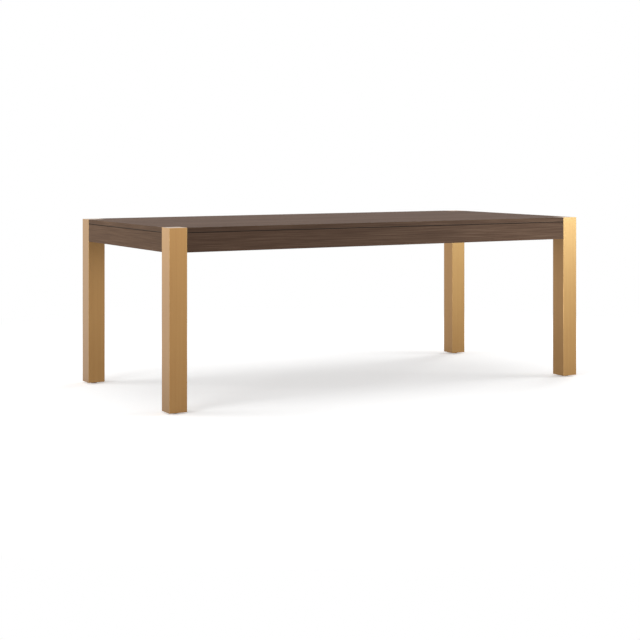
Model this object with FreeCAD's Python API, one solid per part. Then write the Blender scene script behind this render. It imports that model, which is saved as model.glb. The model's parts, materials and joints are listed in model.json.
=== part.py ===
"""Parsons dining table: veneered top and aprons on square brass legs at the corners.

Millimetres. +Z is up, +X runs along the table, and the front long side faces -Y.
The origin is on the floor, under the centre of the table.
"""
import FreeCAD, Part
import math
import os
from collections import namedtuple

Vector = FreeCAD.Vector

# ---------------------------------------------------------------- driving dimensions

# Overall
TABLE_LENGTH = 2134.0
TABLE_WIDTH = 1016.0
LEG_HEIGHT = 762.0                # foot of the leg to the surface of the top

# Legs: square tube, closed by a cap at the top and a plate at the foot
LEG_SIZE = 80.0
LEG_WALL = 2.0
LEG_CORNER_RADIUS = 1.6
LEG_CAP_THICKNESS = 3.0
LEG_CAP_EASE = 0.8
FOOT_PLATE_THICKNESS = 6.0

# Top: core panel between two veneers, with solid lippings on its edges
CORE_THICKNESS = 18.0
VENEER_THICKNESS = 0.8
LIPPING_THICKNESS = 8.0
LEG_JOINT_GAP = 0.5               # hairline joint between the wood and the legs

# Aprons, with the shadow groove rebated into their top outer edge
APRON_THICKNESS = 22.0
APRON_FACE_HEIGHT = 80.5
GROOVE_HEIGHT = 3.0
GROOVE_DEPTH = 6.0
EDGE_EASE = 0.8

# Cross rails under the top
RAIL_NAMES = ("left", "middle", "right")
RAIL_THICKNESS = 22.0
RAIL_HEIGHT = 60.0
RAIL_TOP_SCREWS = 3               # screws up into the top, for each rail
RAIL_SCREW_SEAT = 25.0            # wood left between the screw's head and the top
COUNTERBORE_CLEARANCE = 0.5

# Corner brackets: one bent steel strip round the inner corner of each leg
BRACKET_THICKNESS = 4.0
BRACKET_HEIGHT = 60.0
BRACKET_FLANGE = 74.0             # along each apron, from the leg
BRACKET_DROP = 12.0               # below the underside of the top
BRACKET_BEND = 1.5
BRACKET_SCREW_EDGE = 14.0         # screw centre to the flange's end or bend
BRACKET_SCREW_SPREAD = 36.0
LEG_BOLT_SPREAD = 30.0

# Angle cleats at the ends of the cross rails
CLEAT_LEG = 32.0
CLEAT_THICKNESS = 3.0
CLEAT_HEIGHT = 45.0
CLEAT_SCREW_SPREAD = 24.0

# Angle clips that hold the top down on the aprons
CLIP_LEG = 25.0
CLIP_THICKNESS = 2.0
CLIP_WIDTH = 22.0
END_APRON_CLIPS = 2

# Levellers: a swivel stud in a plastic shoe, screwed up into the foot of the leg
LEVELLER_TRAVEL = 15.0
STUD_DIAMETER = 10.0
STUD_END_CHAMFER = 1.0
STUD_HEX_FLATS = 19.0
STUD_HEX_HEIGHT = 2.5
STUD_NECK_DIAMETER = 9.0
BUTTON_DIAMETER = 16.0
BUTTON_THICKNESS = 1.4
SHOE_DIAMETER = 30.0
SHOE_FLOOR = 1.0
SHOE_LIP = 0.8                    # the lip that holds the button down
SHOE_EASE = 0.6

# Hex nuts and bolts, across the flats
FOOT_NUT_FLATS = 17.0
FOOT_NUT_HEIGHT = 8.0
LEG_BOLT_DIAMETER = 8.0
LEG_BOLT_FLATS = 13.0
LEG_BOLT_HEAD = 5.3
LEG_BOLT_FLANGE_DIAMETER = 17.0
LEG_BOLT_FLANGE_THICKNESS = 1.8
LEG_NUT_HEIGHT = 6.5
BOLT_END = 3.0                    # bolt standing proud of its nut

# Clearances
THREAD_CLEARANCE = 0.1            # radial, between a stud or bolt and its thread
HOLE_CLEARANCE = 0.5              # radial, round a bolt in a plain hole
SCREW_CLEARANCE = 0.05            # radial, round a wood screw in its pilot hole
SWIVEL_CLEARANCE = 0.4            # round the stud's button and neck, in the shoe
SCREW_TIP_CLEARANCE = 1.0
SCREW_COVER = 7.0                 # wood left in front of a screw's tip

# Wood screws: shank and pan head
Screw = namedtuple("Screw", "diameter head_diameter head_height")
BRACKET_SCREW = Screw(diameter=4.5, head_diameter=9.0, head_height=2.8)
SMALL_SCREW = Screw(diameter=4.0, head_diameter=8.0, head_height=2.4)
RAIL_SCREW = Screw(diameter=4.5, head_diameter=9.0, head_height=3.0)
SCREW_DOME = 0.6                  # share of a head's height that is bevelled

# ---------------------------------------------------------------- levels and places

# A leveller from the floor up, screwed fully in: its hex flange meets the foot of the leg.
BUTTON_TOP = SHOE_FLOOR + BUTTON_THICKNESS
LIP_LEVEL = BUTTON_TOP + SWIVEL_CLEARANCE
SHOE_TOP = LIP_LEVEL + SHOE_LIP
HEX_LEVEL = SHOE_TOP + SWIVEL_CLEARANCE
FOOT_LEVEL = HEX_LEVEL + STUD_HEX_HEIGHT
STUD_TOP = FOOT_LEVEL + FOOT_PLATE_THICKNESS + FOOT_NUT_HEIGHT + LEVELLER_TRAVEL

TOP_LEVEL = FOOT_LEVEL + LEG_HEIGHT
CORE_TOP_LEVEL = TOP_LEVEL - VENEER_THICKNESS
CORE_LOW_LEVEL = CORE_TOP_LEVEL - CORE_THICKNESS
UNDERSIDE = CORE_LOW_LEVEL - VENEER_THICKNESS
APRON_LOW_LEVEL = UNDERSIDE - GROOVE_HEIGHT - APRON_FACE_HEIGHT
BRACKET_MIDDLE = UNDERSIDE - BRACKET_DROP - BRACKET_HEIGHT / 2
CLEAT_MIDDLE = UNDERSIDE - RAIL_HEIGHT / 2

HALF_LENGTH = TABLE_LENGTH / 2
HALF_WIDTH = TABLE_WIDTH / 2
NOTCH_SIZE = LEG_SIZE + LEG_JOINT_GAP
LONG_REACH = HALF_LENGTH - NOTCH_SIZE       # from the middle of a long side to its legs
SHORT_REACH = HALF_WIDTH - NOTCH_SIZE
RAIL_END = HALF_WIDTH - APRON_THICKNESS

# Screw lengths: through the steel or the rail, and into the wood up to its cover.
APRON_GRIP = APRON_THICKNESS - SCREW_COVER
TOP_GRIP = VENEER_THICKNESS + CORE_THICKNESS - SCREW_COVER
BRACKET_SCREW_LENGTH = BRACKET_THICKNESS + APRON_GRIP
CLEAT_APRON_SCREW_LENGTH = CLEAT_THICKNESS + APRON_GRIP
CLEAT_RAIL_SCREW_LENGTH = CLEAT_THICKNESS + RAIL_THICKNESS - SCREW_COVER
CLIP_APRON_SCREW_LENGTH = CLIP_THICKNESS + APRON_GRIP
CLIP_TOP_SCREW_LENGTH = CLIP_THICKNESS + TOP_GRIP
RAIL_TOP_SCREW_LENGTH = RAIL_SCREW_SEAT + TOP_GRIP

# The side of the table that each leg stands on, as signs along X and Y.
CORNERS = {
    "front_left": (-1, -1),
    "front_right": (1, -1),
    "back_left": (-1, 1),
    "back_right": (1, 1),
}

# Each side of the table: the reach of its apron each way from the middle, the distance of
# its outer face from the middle of the table, and its turn about Z from the front side.
Side = namedtuple("Side", "reach distance turn is_long")
SIDES = {
    "front": Side(LONG_REACH, HALF_WIDTH, 0, True),
    "right": Side(SHORT_REACH, HALF_LENGTH, 90, False),
    "back": Side(LONG_REACH, HALF_WIDTH, 180, True),
    "left": Side(SHORT_REACH, HALF_LENGTH, 270, False),
}

EDGE_TOLERANCE = 1e-6
ORIGIN = Vector(0, 0, 0)
X_AXIS = Vector(1, 0, 0)
Y_AXIS = Vector(0, 1, 0)
Z_AXIS = Vector(0, 0, 1)
DIAGONAL = Vector(1, -1, 0)       # normal of the upright plane through a leg's two corners


# ---------------------------------------------------------------- small helpers

def block(low, high):
    """A box between two opposite corners, each given as (x, y, z)."""
    size = [high[i] - low[i] for i in range(3)]
    return Part.makeBox(*size, Vector(*low))


def prism(outline, low, height):
    """A plan outline of (x, y) points, raised from the level low."""
    points = [Vector(x, y, low) for x, y in outline]
    face = Part.Face(Part.makePolygon(points + points[:1]))
    return face.extrude(Vector(0, 0, height))


def turned(profile):
    """A closed (radius, height) profile, turned about Z."""
    points = [Vector(radius, 0, height) for radius, height in profile]
    face = Part.Face(Part.makePolygon(points + points[:1]))
    return face.revolve(ORIGIN, Z_AXIS, 360)


def hexagon(flats, low, height):
    """A hexagonal prism about Z, measured across its flats."""
    radius = flats / math.sqrt(3)
    angles = [math.radians(60 * i) for i in range(6)]
    outline = [(radius * math.cos(a), radius * math.sin(a)) for a in angles]
    return prism(outline, low, height)


def aimed(shape, point, direction):
    """A shape made along +Z from the origin, put at a point and turned along a direction."""
    placed = shape.copy()
    placed.Placement = FreeCAD.Placement(Vector(*point), FreeCAD.Rotation(Z_AXIS, direction))
    return placed


def drill(diameter, clearance, point, direction, start, end):
    """A cutting tool along a direction, from start to end measured from the point."""
    rod = Part.makeCylinder(diameter / 2 + clearance, end - start, Vector(0, 0, start))
    return aimed(rod, point, direction)


def vertical_edges(shape):
    """The edges of a shape that stand upright."""
    return [edge for edge in shape.Edges if edge.BoundBox.ZLength > edge.Length - EDGE_TOLERANCE]


def evenly(low, high, count):
    """The middles of count places that divide a stretch into count + 1 equal bays."""
    bay = (high - low) / (count + 1)
    return [low + bay * (i + 1) for i in range(count)]


def to_corner(shape, corner):
    """A piece made at a leg whose outer corner is the origin, put at a corner of the table."""
    side_x, side_y = CORNERS[corner]
    placed = shape.copy()
    if side_x > 0:
        placed = placed.mirror(ORIGIN, X_AXIS)
    if side_y > 0:
        placed = placed.mirror(ORIGIN, Y_AXIS)
    placed.translate(Vector(side_x * HALF_LENGTH, side_y * HALF_WIDTH, 0))
    return placed


def swapped(shape):
    """A piece made against one inner face of a leg, mirrored to the other inner face."""
    return shape.mirror(ORIGIN, DIAGONAL)


# ---------------------------------------------------------------- fasteners

def wood_screw(screw, length):
    """A pan-head screw that points along +Z, with the underside of its head at the origin."""
    shank = screw.diameter / 2
    head = screw.head_diameter / 2
    dome = screw.head_height * SCREW_DOME
    profile = [
        (0, -screw.head_height),
        (head - dome, -screw.head_height),
        (head, dome - screw.head_height),
        (head, 0),
        (shank, 0),
        (shank, length - screw.diameter),
        (0, length),
    ]
    return turned(profile)


def screw_hole(screw, length, point, direction):
    """The pilot hole of a wood screw, open at the seat of its head."""
    end = length + SCREW_TIP_CLEARANCE
    return drill(screw.diameter, SCREW_CLEARANCE, point, direction, -HOLE_CLEARANCE, end)


def leg_bolt():
    """A hex flange bolt that points along +Z, with the underside of its flange at the origin."""
    length = BRACKET_THICKNESS + LEG_WALL + LEG_NUT_HEIGHT + BOLT_END
    shank = Part.makeCylinder(LEG_BOLT_DIAMETER / 2, length)
    flange = Part.makeCylinder(LEG_BOLT_FLANGE_DIAMETER / 2, LEG_BOLT_FLANGE_THICKNESS,
                               Vector(0, 0, -LEG_BOLT_FLANGE_THICKNESS))
    head = hexagon(LEG_BOLT_FLATS, -LEG_BOLT_HEAD, LEG_BOLT_HEAD - LEG_BOLT_FLANGE_THICKNESS)
    return shank.fuse([flange, head]).removeSplitter()


def leg_nut():
    """The weld nut of a leg bolt, on the inner side of the leg's wall."""
    seat = BRACKET_THICKNESS + LEG_WALL
    nut = hexagon(LEG_BOLT_FLATS, seat, LEG_NUT_HEIGHT)
    bore = Part.makeCylinder(LEG_BOLT_DIAMETER / 2 + THREAD_CLEARANCE, LEG_NUT_HEIGHT,
                             Vector(0, 0, seat))
    return nut.cut(bore)


# ---------------------------------------------------------------- fastener seats at a corner

def leg_bolt_seats():
    """Where the leg bolts' flanges sit on the bracket, against the leg's face across X."""
    across = (APRON_THICKNESS + BRACKET_THICKNESS + LEG_SIZE) / 2
    levels = [BRACKET_MIDDLE + side * LEG_BOLT_SPREAD / 2 for side in (-1, 1)]
    return [(LEG_SIZE + BRACKET_THICKNESS, across, level) for level in levels]


def bracket_screw_seats():
    """Where the bracket screws' heads sit, on the flange along the long side's apron."""
    near = LEG_SIZE + BRACKET_THICKNESS + BRACKET_SCREW_EDGE
    far = LEG_SIZE + BRACKET_FLANGE - BRACKET_SCREW_EDGE
    levels = [BRACKET_MIDDLE + side * BRACKET_SCREW_SPREAD / 2 for side in (-1, 1)]
    return [(x, APRON_THICKNESS + BRACKET_THICKNESS, level) for x in (near, far) for level in levels]


def both_faces(make, seats, direction):
    """One piece for each seat on a leg's first inner face, and its twin on the second."""
    first = [make(seat, direction) for seat in seats]
    return first + [swapped(piece) for piece in first]


def leg_bolt_holes():
    """The holes of the leg bolts through bracket and leg."""
    depth = BRACKET_THICKNESS + LEG_WALL + BOLT_END

    def hole(seat, direction):
        return drill(LEG_BOLT_DIAMETER, HOLE_CLEARANCE, seat, direction, -BOLT_END, depth)

    return both_faces(hole, leg_bolt_seats(), -X_AXIS)


def bracket_screw_holes():
    """The holes of the bracket screws through bracket and aprons."""
    def hole(seat, direction):
        return screw_hole(BRACKET_SCREW, BRACKET_SCREW_LENGTH, seat, direction)

    return both_faces(hole, bracket_screw_seats(), -Y_AXIS)


# ---------------------------------------------------------------- legs

def leg_section(low, height):
    """The leg's outer square with its small corner radius."""
    square = block((0, 0, low), (LEG_SIZE, LEG_SIZE, low + height))
    return square.makeFillet(LEG_CORNER_RADIUS, vertical_edges(square))


def leg_tube():
    """Square tube from the foot to the cap, with the holes of its bolts."""
    height = LEG_HEIGHT - LEG_CAP_THICKNESS
    outer = leg_section(FOOT_LEVEL, height)
    inner = block((LEG_WALL, LEG_WALL, FOOT_LEVEL),
                  (LEG_SIZE - LEG_WALL, LEG_SIZE - LEG_WALL, FOOT_LEVEL + height))
    return outer.cut([inner] + leg_bolt_holes())


def leg_cap():
    """The plate that closes the top of a leg, its upper edge eased."""
    cap = leg_section(TOP_LEVEL - LEG_CAP_THICKNESS, LEG_CAP_THICKNESS)
    rim = [edge for edge in cap.Edges if edge.BoundBox.ZMin > TOP_LEVEL - LEG_CAP_EASE]
    return cap.makeChamfer(LEG_CAP_EASE, rim)


def leg_centre(level):
    """A point on the leg's own axis."""
    return (LEG_SIZE / 2, LEG_SIZE / 2, level)


def foot_plate():
    """The plate welded flush into the foot of a leg, with the hole of the leveller."""
    inner = LEG_SIZE - LEG_WALL
    plate = block((LEG_WALL, LEG_WALL, FOOT_LEVEL), (inner, inner, FOOT_LEVEL + FOOT_PLATE_THICKNESS))
    hole = drill(STUD_DIAMETER, HOLE_CLEARANCE, leg_centre(FOOT_LEVEL), Z_AXIS, 0, FOOT_PLATE_THICKNESS)
    return plate.cut(hole)


def foot_nut():
    """The weld nut on the foot plate, which the leveller screws into."""
    nut = hexagon(FOOT_NUT_FLATS, 0, FOOT_NUT_HEIGHT)
    bore = Part.makeCylinder(STUD_DIAMETER / 2 + THREAD_CLEARANCE, FOOT_NUT_HEIGHT)
    return aimed(nut.cut(bore), leg_centre(FOOT_LEVEL + FOOT_PLATE_THICKNESS), Z_AXIS)


# ---------------------------------------------------------------- levellers

def leveller_stud():
    """Stud, hex flange, neck and swivel button in one piece."""
    stud = STUD_DIAMETER / 2
    neck = STUD_NECK_DIAMETER / 2
    button = BUTTON_DIAMETER / 2
    profile = [
        (0, SHOE_FLOOR),
        (button, SHOE_FLOOR),
        (button, BUTTON_TOP),
        (neck, BUTTON_TOP),
        (neck, FOOT_LEVEL),
        (stud, FOOT_LEVEL),
        (stud, STUD_TOP - STUD_END_CHAMFER),
        (stud - STUD_END_CHAMFER, STUD_TOP),
        (0, STUD_TOP),
    ]
    flange = hexagon(STUD_HEX_FLATS, HEX_LEVEL, STUD_HEX_HEIGHT)
    return aimed(turned(profile).fuse(flange), leg_centre(0), Z_AXIS)


def leveller_shoe():
    """Plastic disc on the floor, whose pocket holds the stud's button."""
    rim = SHOE_DIAMETER / 2
    pocket = BUTTON_DIAMETER / 2 + SWIVEL_CLEARANCE
    mouth = STUD_NECK_DIAMETER / 2 + SWIVEL_CLEARANCE
    profile = [
        (0, 0),
        (rim - SHOE_EASE, 0),
        (rim, SHOE_EASE),
        (rim, SHOE_TOP - SHOE_EASE),
        (rim - SHOE_EASE, SHOE_TOP),
        (mouth, SHOE_TOP),
        (mouth, LIP_LEVEL),
        (pocket, LIP_LEVEL),
        (pocket, SHOE_FLOOR),
        (0, SHOE_FLOOR),
    ]
    return aimed(turned(profile), leg_centre(0), Z_AXIS)


# ---------------------------------------------------------------- corner brackets

def corner_bracket():
    """Steel strip bent round the inner corner of a leg and along both aprons."""
    thick = BRACKET_THICKNESS
    back = APRON_THICKNESS
    end = LEG_SIZE + BRACKET_FLANGE
    half = [(end, back), (end, back + thick), (LEG_SIZE + thick, back + thick)]
    outline = [(LEG_SIZE, back)] + half + [(LEG_SIZE + thick, LEG_SIZE + thick)]
    outline += [(y, x) for x, y in reversed(half)] + [(back, LEG_SIZE), (LEG_SIZE, LEG_SIZE)]
    strip = prism(outline, BRACKET_MIDDLE - BRACKET_HEIGHT / 2, BRACKET_HEIGHT)
    bent = strip.makeFillet(BRACKET_BEND, vertical_edges(strip))
    return bent.cut(leg_bolt_holes() + bracket_screw_holes())


def leg_bolts():
    """The four bolts of one leg."""
    return both_faces(lambda seat, direction: aimed(leg_bolt(), seat, direction),
                      leg_bolt_seats(), -X_AXIS)


def leg_nuts():
    """The four weld nuts of one leg."""
    return both_faces(lambda seat, direction: aimed(leg_nut(), seat, direction),
                      leg_bolt_seats(), -X_AXIS)


def bracket_screws():
    """The eight screws of one corner bracket."""
    screw = wood_screw(BRACKET_SCREW, BRACKET_SCREW_LENGTH)
    return both_faces(lambda seat, direction: aimed(screw, seat, direction),
                      bracket_screw_seats(), -Y_AXIS)


# ---------------------------------------------------------------- aprons

def apron_bar(reach):
    """An apron along X, its outer face on the plane y = 0, facing -Y."""
    groove_low = UNDERSIDE - GROOVE_HEIGHT
    section = [
        (EDGE_EASE, APRON_LOW_LEVEL),
        (APRON_THICKNESS, APRON_LOW_LEVEL),
        (APRON_THICKNESS, UNDERSIDE),
        (GROOVE_DEPTH, UNDERSIDE),
        (GROOVE_DEPTH, groove_low),
        (0, groove_low),
        (0, APRON_LOW_LEVEL + EDGE_EASE),
    ]
    points = [Vector(-reach, y, z) for y, z in section]
    face = Part.Face(Part.makePolygon(points + points[:1]))
    return face.extrude(Vector(2 * reach, 0, 0))


def to_side(shape, side):
    """A piece made behind an outer face on y = 0, facing -Y, put at a side of the table."""
    placed = shape.copy()
    placed.translate(Vector(0, -SIDES[side].distance, 0))
    placed.rotate(ORIGIN, Z_AXIS, SIDES[side].turn)
    return placed


def apron(side, holes):
    """One side's apron, with all the holes that reach it."""
    return to_side(apron_bar(SIDES[side].reach), side).cut(holes)


# ---------------------------------------------------------------- cross rails

def rail_places():
    """The rails' middles along the table, between the legs."""
    return evenly(-LONG_REACH, LONG_REACH, len(RAIL_NAMES))


def rail_screw_seats():
    """Where the heads of the screws up into the top sit, in the rails' counterbores."""
    level = UNDERSIDE - RAIL_SCREW_SEAT
    return [(x, y, level) for x in rail_places() for y in evenly(-RAIL_END, RAIL_END, RAIL_TOP_SCREWS)]


def rail_holes():
    """The holes and counterbores of the screws up into the top."""
    holes = []
    for seat in rail_screw_seats():
        holes.append(screw_hole(RAIL_SCREW, RAIL_TOP_SCREW_LENGTH, seat, Z_AXIS))
        holes.append(drill(RAIL_SCREW.head_diameter, COUNTERBORE_CLEARANCE, seat, Z_AXIS,
                           RAIL_SCREW_SEAT - RAIL_HEIGHT, 0))
    return holes


def cross_rail(place, holes):
    """One rail from apron to apron, close under the top."""
    half = RAIL_THICKNESS / 2
    rail = block((place - half, -RAIL_END, UNDERSIDE - RAIL_HEIGHT), (place + half, RAIL_END, UNDERSIDE))
    return rail.cut(holes)


def cleat():
    """A steel angle in the corner between a rail, across X, and an apron, across Y."""
    low = CLEAT_MIDDLE - CLEAT_HEIGHT / 2
    outline = [
        (0, 0),
        (CLEAT_LEG, 0),
        (CLEAT_LEG, CLEAT_THICKNESS),
        (CLEAT_THICKNESS, CLEAT_THICKNESS),
        (CLEAT_THICKNESS, CLEAT_LEG),
        (0, CLEAT_LEG),
    ]
    return prism(outline, low, CLEAT_HEIGHT).cut(cleat_holes())


def cleat_seats():
    """Seats of a cleat's screws, as (seat, direction, length), in the cleat's own corner."""
    along = (CLEAT_LEG + CLEAT_THICKNESS) / 2
    levels = [CLEAT_MIDDLE + side * CLEAT_SCREW_SPREAD / 2 for side in (-1, 1)]
    in_rail = [((CLEAT_THICKNESS, along, z), -X_AXIS, CLEAT_RAIL_SCREW_LENGTH) for z in levels]
    in_apron = [((along, CLEAT_THICKNESS, z), -Y_AXIS, CLEAT_APRON_SCREW_LENGTH) for z in levels]
    return in_rail + in_apron


def cleat_holes():
    """The holes of a cleat's screws, in the cleat's own corner."""
    return [screw_hole(SMALL_SCREW, length, seat, way) for seat, way, length in cleat_seats()]


def cleat_screws():
    """A cleat's screws, in the cleat's own corner."""
    return [aimed(wood_screw(SMALL_SCREW, length), seat, way) for seat, way, length in cleat_seats()]


def at_rail_ends(pieces):
    """Pieces made in a cleat's own corner, put at both ends of every rail."""
    placed = []
    for place in rail_places():
        for end in (-1, 1):
            for piece in pieces:
                copy = piece.copy() if end < 0 else piece.mirror(ORIGIN, Y_AXIS)
                copy.translate(Vector(place + RAIL_THICKNESS / 2, end * RAIL_END, 0))
                placed.append(copy)
    return placed


# ---------------------------------------------------------------- clips that hold the top

def clip_places(side):
    """Where the clips stand along a side: mid-bay between the rails, or evenly on an end."""
    if not SIDES[side].is_long:
        return evenly(-SHORT_REACH, SHORT_REACH, END_APRON_CLIPS)
    marks = [-LONG_REACH] + rail_places() + [LONG_REACH]
    return [(a + b) / 2 for a, b in zip(marks, marks[1:])]


def clip_seats():
    """Seats of a clip's two screws, as (seat, direction, length), behind an apron at x = 0."""
    middle = (CLIP_LEG + CLIP_THICKNESS) / 2
    in_apron = ((0, APRON_THICKNESS + CLIP_THICKNESS, UNDERSIDE - middle), -Y_AXIS, CLIP_APRON_SCREW_LENGTH)
    in_top = ((0, APRON_THICKNESS + middle, UNDERSIDE - CLIP_THICKNESS), Z_AXIS, CLIP_TOP_SCREW_LENGTH)
    return [in_apron, in_top]


def clip_holes():
    """The holes of a clip's screws."""
    return [screw_hole(SMALL_SCREW, length, seat, way) for seat, way, length in clip_seats()]


def clip():
    """A steel angle in the corner between an apron's back and the top's underside."""
    half = CLIP_WIDTH / 2
    back = APRON_THICKNESS
    upright = block((-half, back, UNDERSIDE - CLIP_LEG), (half, back + CLIP_THICKNESS, UNDERSIDE))
    shelf = block((-half, back, UNDERSIDE - CLIP_THICKNESS), (half, back + CLIP_LEG, UNDERSIDE))
    return upright.fuse(shelf).removeSplitter().cut(clip_holes())


def clip_screws():
    """A clip's two screws."""
    return [aimed(wood_screw(SMALL_SCREW, length), seat, way) for seat, way, length in clip_seats()]


def at_clip_places(pieces):
    """Pieces made for a clip at x = 0 of a side, put at every clip's place."""
    placed = []
    for side in SIDES:
        for place in clip_places(side):
            for piece in pieces:
                copy = piece.copy()
                copy.translate(Vector(place, 0, 0))
                placed.append(to_side(copy, side))
    return placed


# ---------------------------------------------------------------- top

def panel(inset, low, thickness):
    """A flat sheet, inset from the table's outer faces, with a notch for a leg at each corner."""
    reach_x = HALF_LENGTH - inset
    reach_y = HALF_WIDTH - inset
    sheet = block((-reach_x, -reach_y, low), (reach_x, reach_y, low + thickness))
    notch = block((0, 0, low), (NOTCH_SIZE, NOTCH_SIZE, low + thickness))
    return sheet.cut([to_corner(notch, corner) for corner in CORNERS])


def lipping(side):
    """The solid wood strip on one edge of the core, between two legs."""
    reach = SIDES[side].reach
    strip = block((-reach, 0, CORE_LOW_LEVEL), (reach, LIPPING_THICKNESS, CORE_TOP_LEVEL))
    return to_side(strip, side)


# ---------------------------------------------------------------- the whole table

def corner_nodes():
    """The pieces that each leg's corner has, by the start of their names."""
    return {
        "leg": [leg_tube()],
        "leg_cap": [leg_cap()],
        "foot_plate": [foot_plate()],
        "foot_nut": [foot_nut()],
        "leveller_stud": [leveller_stud()],
        "leveller_shoe": [leveller_shoe()],
        "corner_bracket": [corner_bracket()],
        "leg_bolts": leg_bolts(),
        "leg_nuts": leg_nuts(),
        "bracket_screws": bracket_screws(),
    }


def table_nodes():
    """Every piece of the table, by name, each as a list of separate solids."""
    nodes = {}
    for start, pieces in corner_nodes().items():
        for corner in CORNERS:
            nodes[f"{start}_{corner}"] = [to_corner(piece, corner) for piece in pieces]

    apron_holes = at_clip_places(clip_holes()) + at_rail_ends(cleat_holes())
    for corner in CORNERS:
        apron_holes += [to_corner(hole, corner) for hole in bracket_screw_holes()]
    for side in SIDES:
        nodes[f"apron_{side}"] = [apron(side, apron_holes)]
        nodes[f"top_lipping_{side}"] = [lipping(side)]

    rail_cuts = rail_holes() + at_rail_ends(cleat_holes())
    for name, place in zip(RAIL_NAMES, rail_places()):
        nodes[f"cross_rail_{name}"] = [cross_rail(place, rail_cuts)]
    nodes["rail_cleats"] = at_rail_ends([cleat()])
    nodes["rail_cleat_screws"] = at_rail_ends(cleat_screws())
    rail_screw = wood_screw(RAIL_SCREW, RAIL_TOP_SCREW_LENGTH)
    nodes["rail_top_screws"] = [aimed(rail_screw, seat, Z_AXIS) for seat in rail_screw_seats()]
    nodes["top_clips"] = at_clip_places([clip()])
    nodes["top_clip_screws"] = at_clip_places(clip_screws())

    top_holes = rail_holes() + at_clip_places(clip_holes())
    core = panel(LIPPING_THICKNESS, CORE_LOW_LEVEL, CORE_THICKNESS)
    backing = panel(0, UNDERSIDE, VENEER_THICKNESS)
    nodes["top_core"] = [core.cut(top_holes)]
    nodes["top_backing_veneer"] = [backing.cut(top_holes)]
    nodes["top_face_veneer"] = [panel(0, CORE_TOP_LEVEL, VENEER_THICKNESS)]
    return nodes


def main():
    """Write one STEP file for each piece or group of like pieces."""
    os.makedirs("parts", exist_ok=True)
    for name, pieces in table_nodes().items():
        solids = [solid for piece in pieces for solid in piece.Solids]
        shape = solids[0] if len(solids) == 1 else Part.makeCompound(solids)
        shape.exportStep(f"parts/{name}.step")
        print(name, len(solids), "solids", round(shape.Volume), "mm3", "valid", shape.isValid())


main()
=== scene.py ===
"""Parsons dining table, dressed: brushed brass legs, a walnut top and aprons, and the steel that joins them.

Metres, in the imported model's frame: the origin is on the floor under the middle of the table, +X runs
along the table, +Z is up, and the front long side faces -Y.
"""

import itertools
import json
import logging
import math
from collections.abc import Callable, Iterator, Sequence
from contextlib import contextmanager
from dataclasses import dataclass, field, replace
from enum import Enum

import bmesh
import bpy
from mathutils import Matrix, Vector

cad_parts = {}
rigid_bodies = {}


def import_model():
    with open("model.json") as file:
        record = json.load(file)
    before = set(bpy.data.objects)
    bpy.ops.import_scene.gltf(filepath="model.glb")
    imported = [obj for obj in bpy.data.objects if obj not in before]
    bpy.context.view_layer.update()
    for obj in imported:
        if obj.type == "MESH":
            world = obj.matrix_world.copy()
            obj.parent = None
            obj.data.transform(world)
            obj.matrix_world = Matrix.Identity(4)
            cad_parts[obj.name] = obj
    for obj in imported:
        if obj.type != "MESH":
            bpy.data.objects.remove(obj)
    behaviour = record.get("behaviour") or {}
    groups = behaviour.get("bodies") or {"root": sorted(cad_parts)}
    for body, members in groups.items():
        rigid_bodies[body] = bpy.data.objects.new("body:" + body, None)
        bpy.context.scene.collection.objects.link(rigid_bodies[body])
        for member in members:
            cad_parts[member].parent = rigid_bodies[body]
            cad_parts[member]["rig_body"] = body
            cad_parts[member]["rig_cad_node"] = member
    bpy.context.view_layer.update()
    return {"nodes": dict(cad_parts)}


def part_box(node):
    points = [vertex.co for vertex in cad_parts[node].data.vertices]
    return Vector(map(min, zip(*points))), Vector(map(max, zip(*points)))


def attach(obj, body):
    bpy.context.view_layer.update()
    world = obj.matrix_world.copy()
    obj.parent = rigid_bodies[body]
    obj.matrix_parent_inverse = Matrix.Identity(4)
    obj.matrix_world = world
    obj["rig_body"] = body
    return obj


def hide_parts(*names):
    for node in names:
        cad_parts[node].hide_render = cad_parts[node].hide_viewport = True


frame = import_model()

TOUCHING = 1e-6                   # two points nearer than this are one
SQUARE_ON = 0.999                 # the least part of its normal that a face square to the axes has
SAME_FACE = math.radians(0.5)     # faces that bend less than this are one
SHARP = math.radians(40)          # steel edges that bend more than this are broken
LAST_TENTH = 0.8                  # where a fastener's last tenth starts, as a share of half its length
PLACE_DIGITS = 5                  # decimals of a metre that tell two places apart
LENGTH_DIGITS = 4                 # decimals of a metre that tell two fasteners' lengths apart
SOFT_BEND = 35.0                  # in degrees: bends up to this look round
ROUND_BEND = 50.0                 # the same for small turned pieces, whose rings bend more
log = logging.getLogger("dining_table")

Piece = bpy.types.Object
Socket = bpy.types.NodeSocket
Triple = tuple[float, float, float]
Colour = Triple
Span = tuple[float, float]
Outline = Sequence[Span]
EdgeTest = Callable[[Vector, Vector], bool]


class Axis(Enum):
    """A direction of the table, as the index of its coordinate."""

    X = 0
    Y = 1
    Z = 2


class Corner(Enum):
    """A corner of the table, as the end of its pieces' names."""

    FRONT_LEFT = "front_left"
    FRONT_RIGHT = "front_right"
    BACK_LEFT = "back_left"
    BACK_RIGHT = "back_right"


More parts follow.
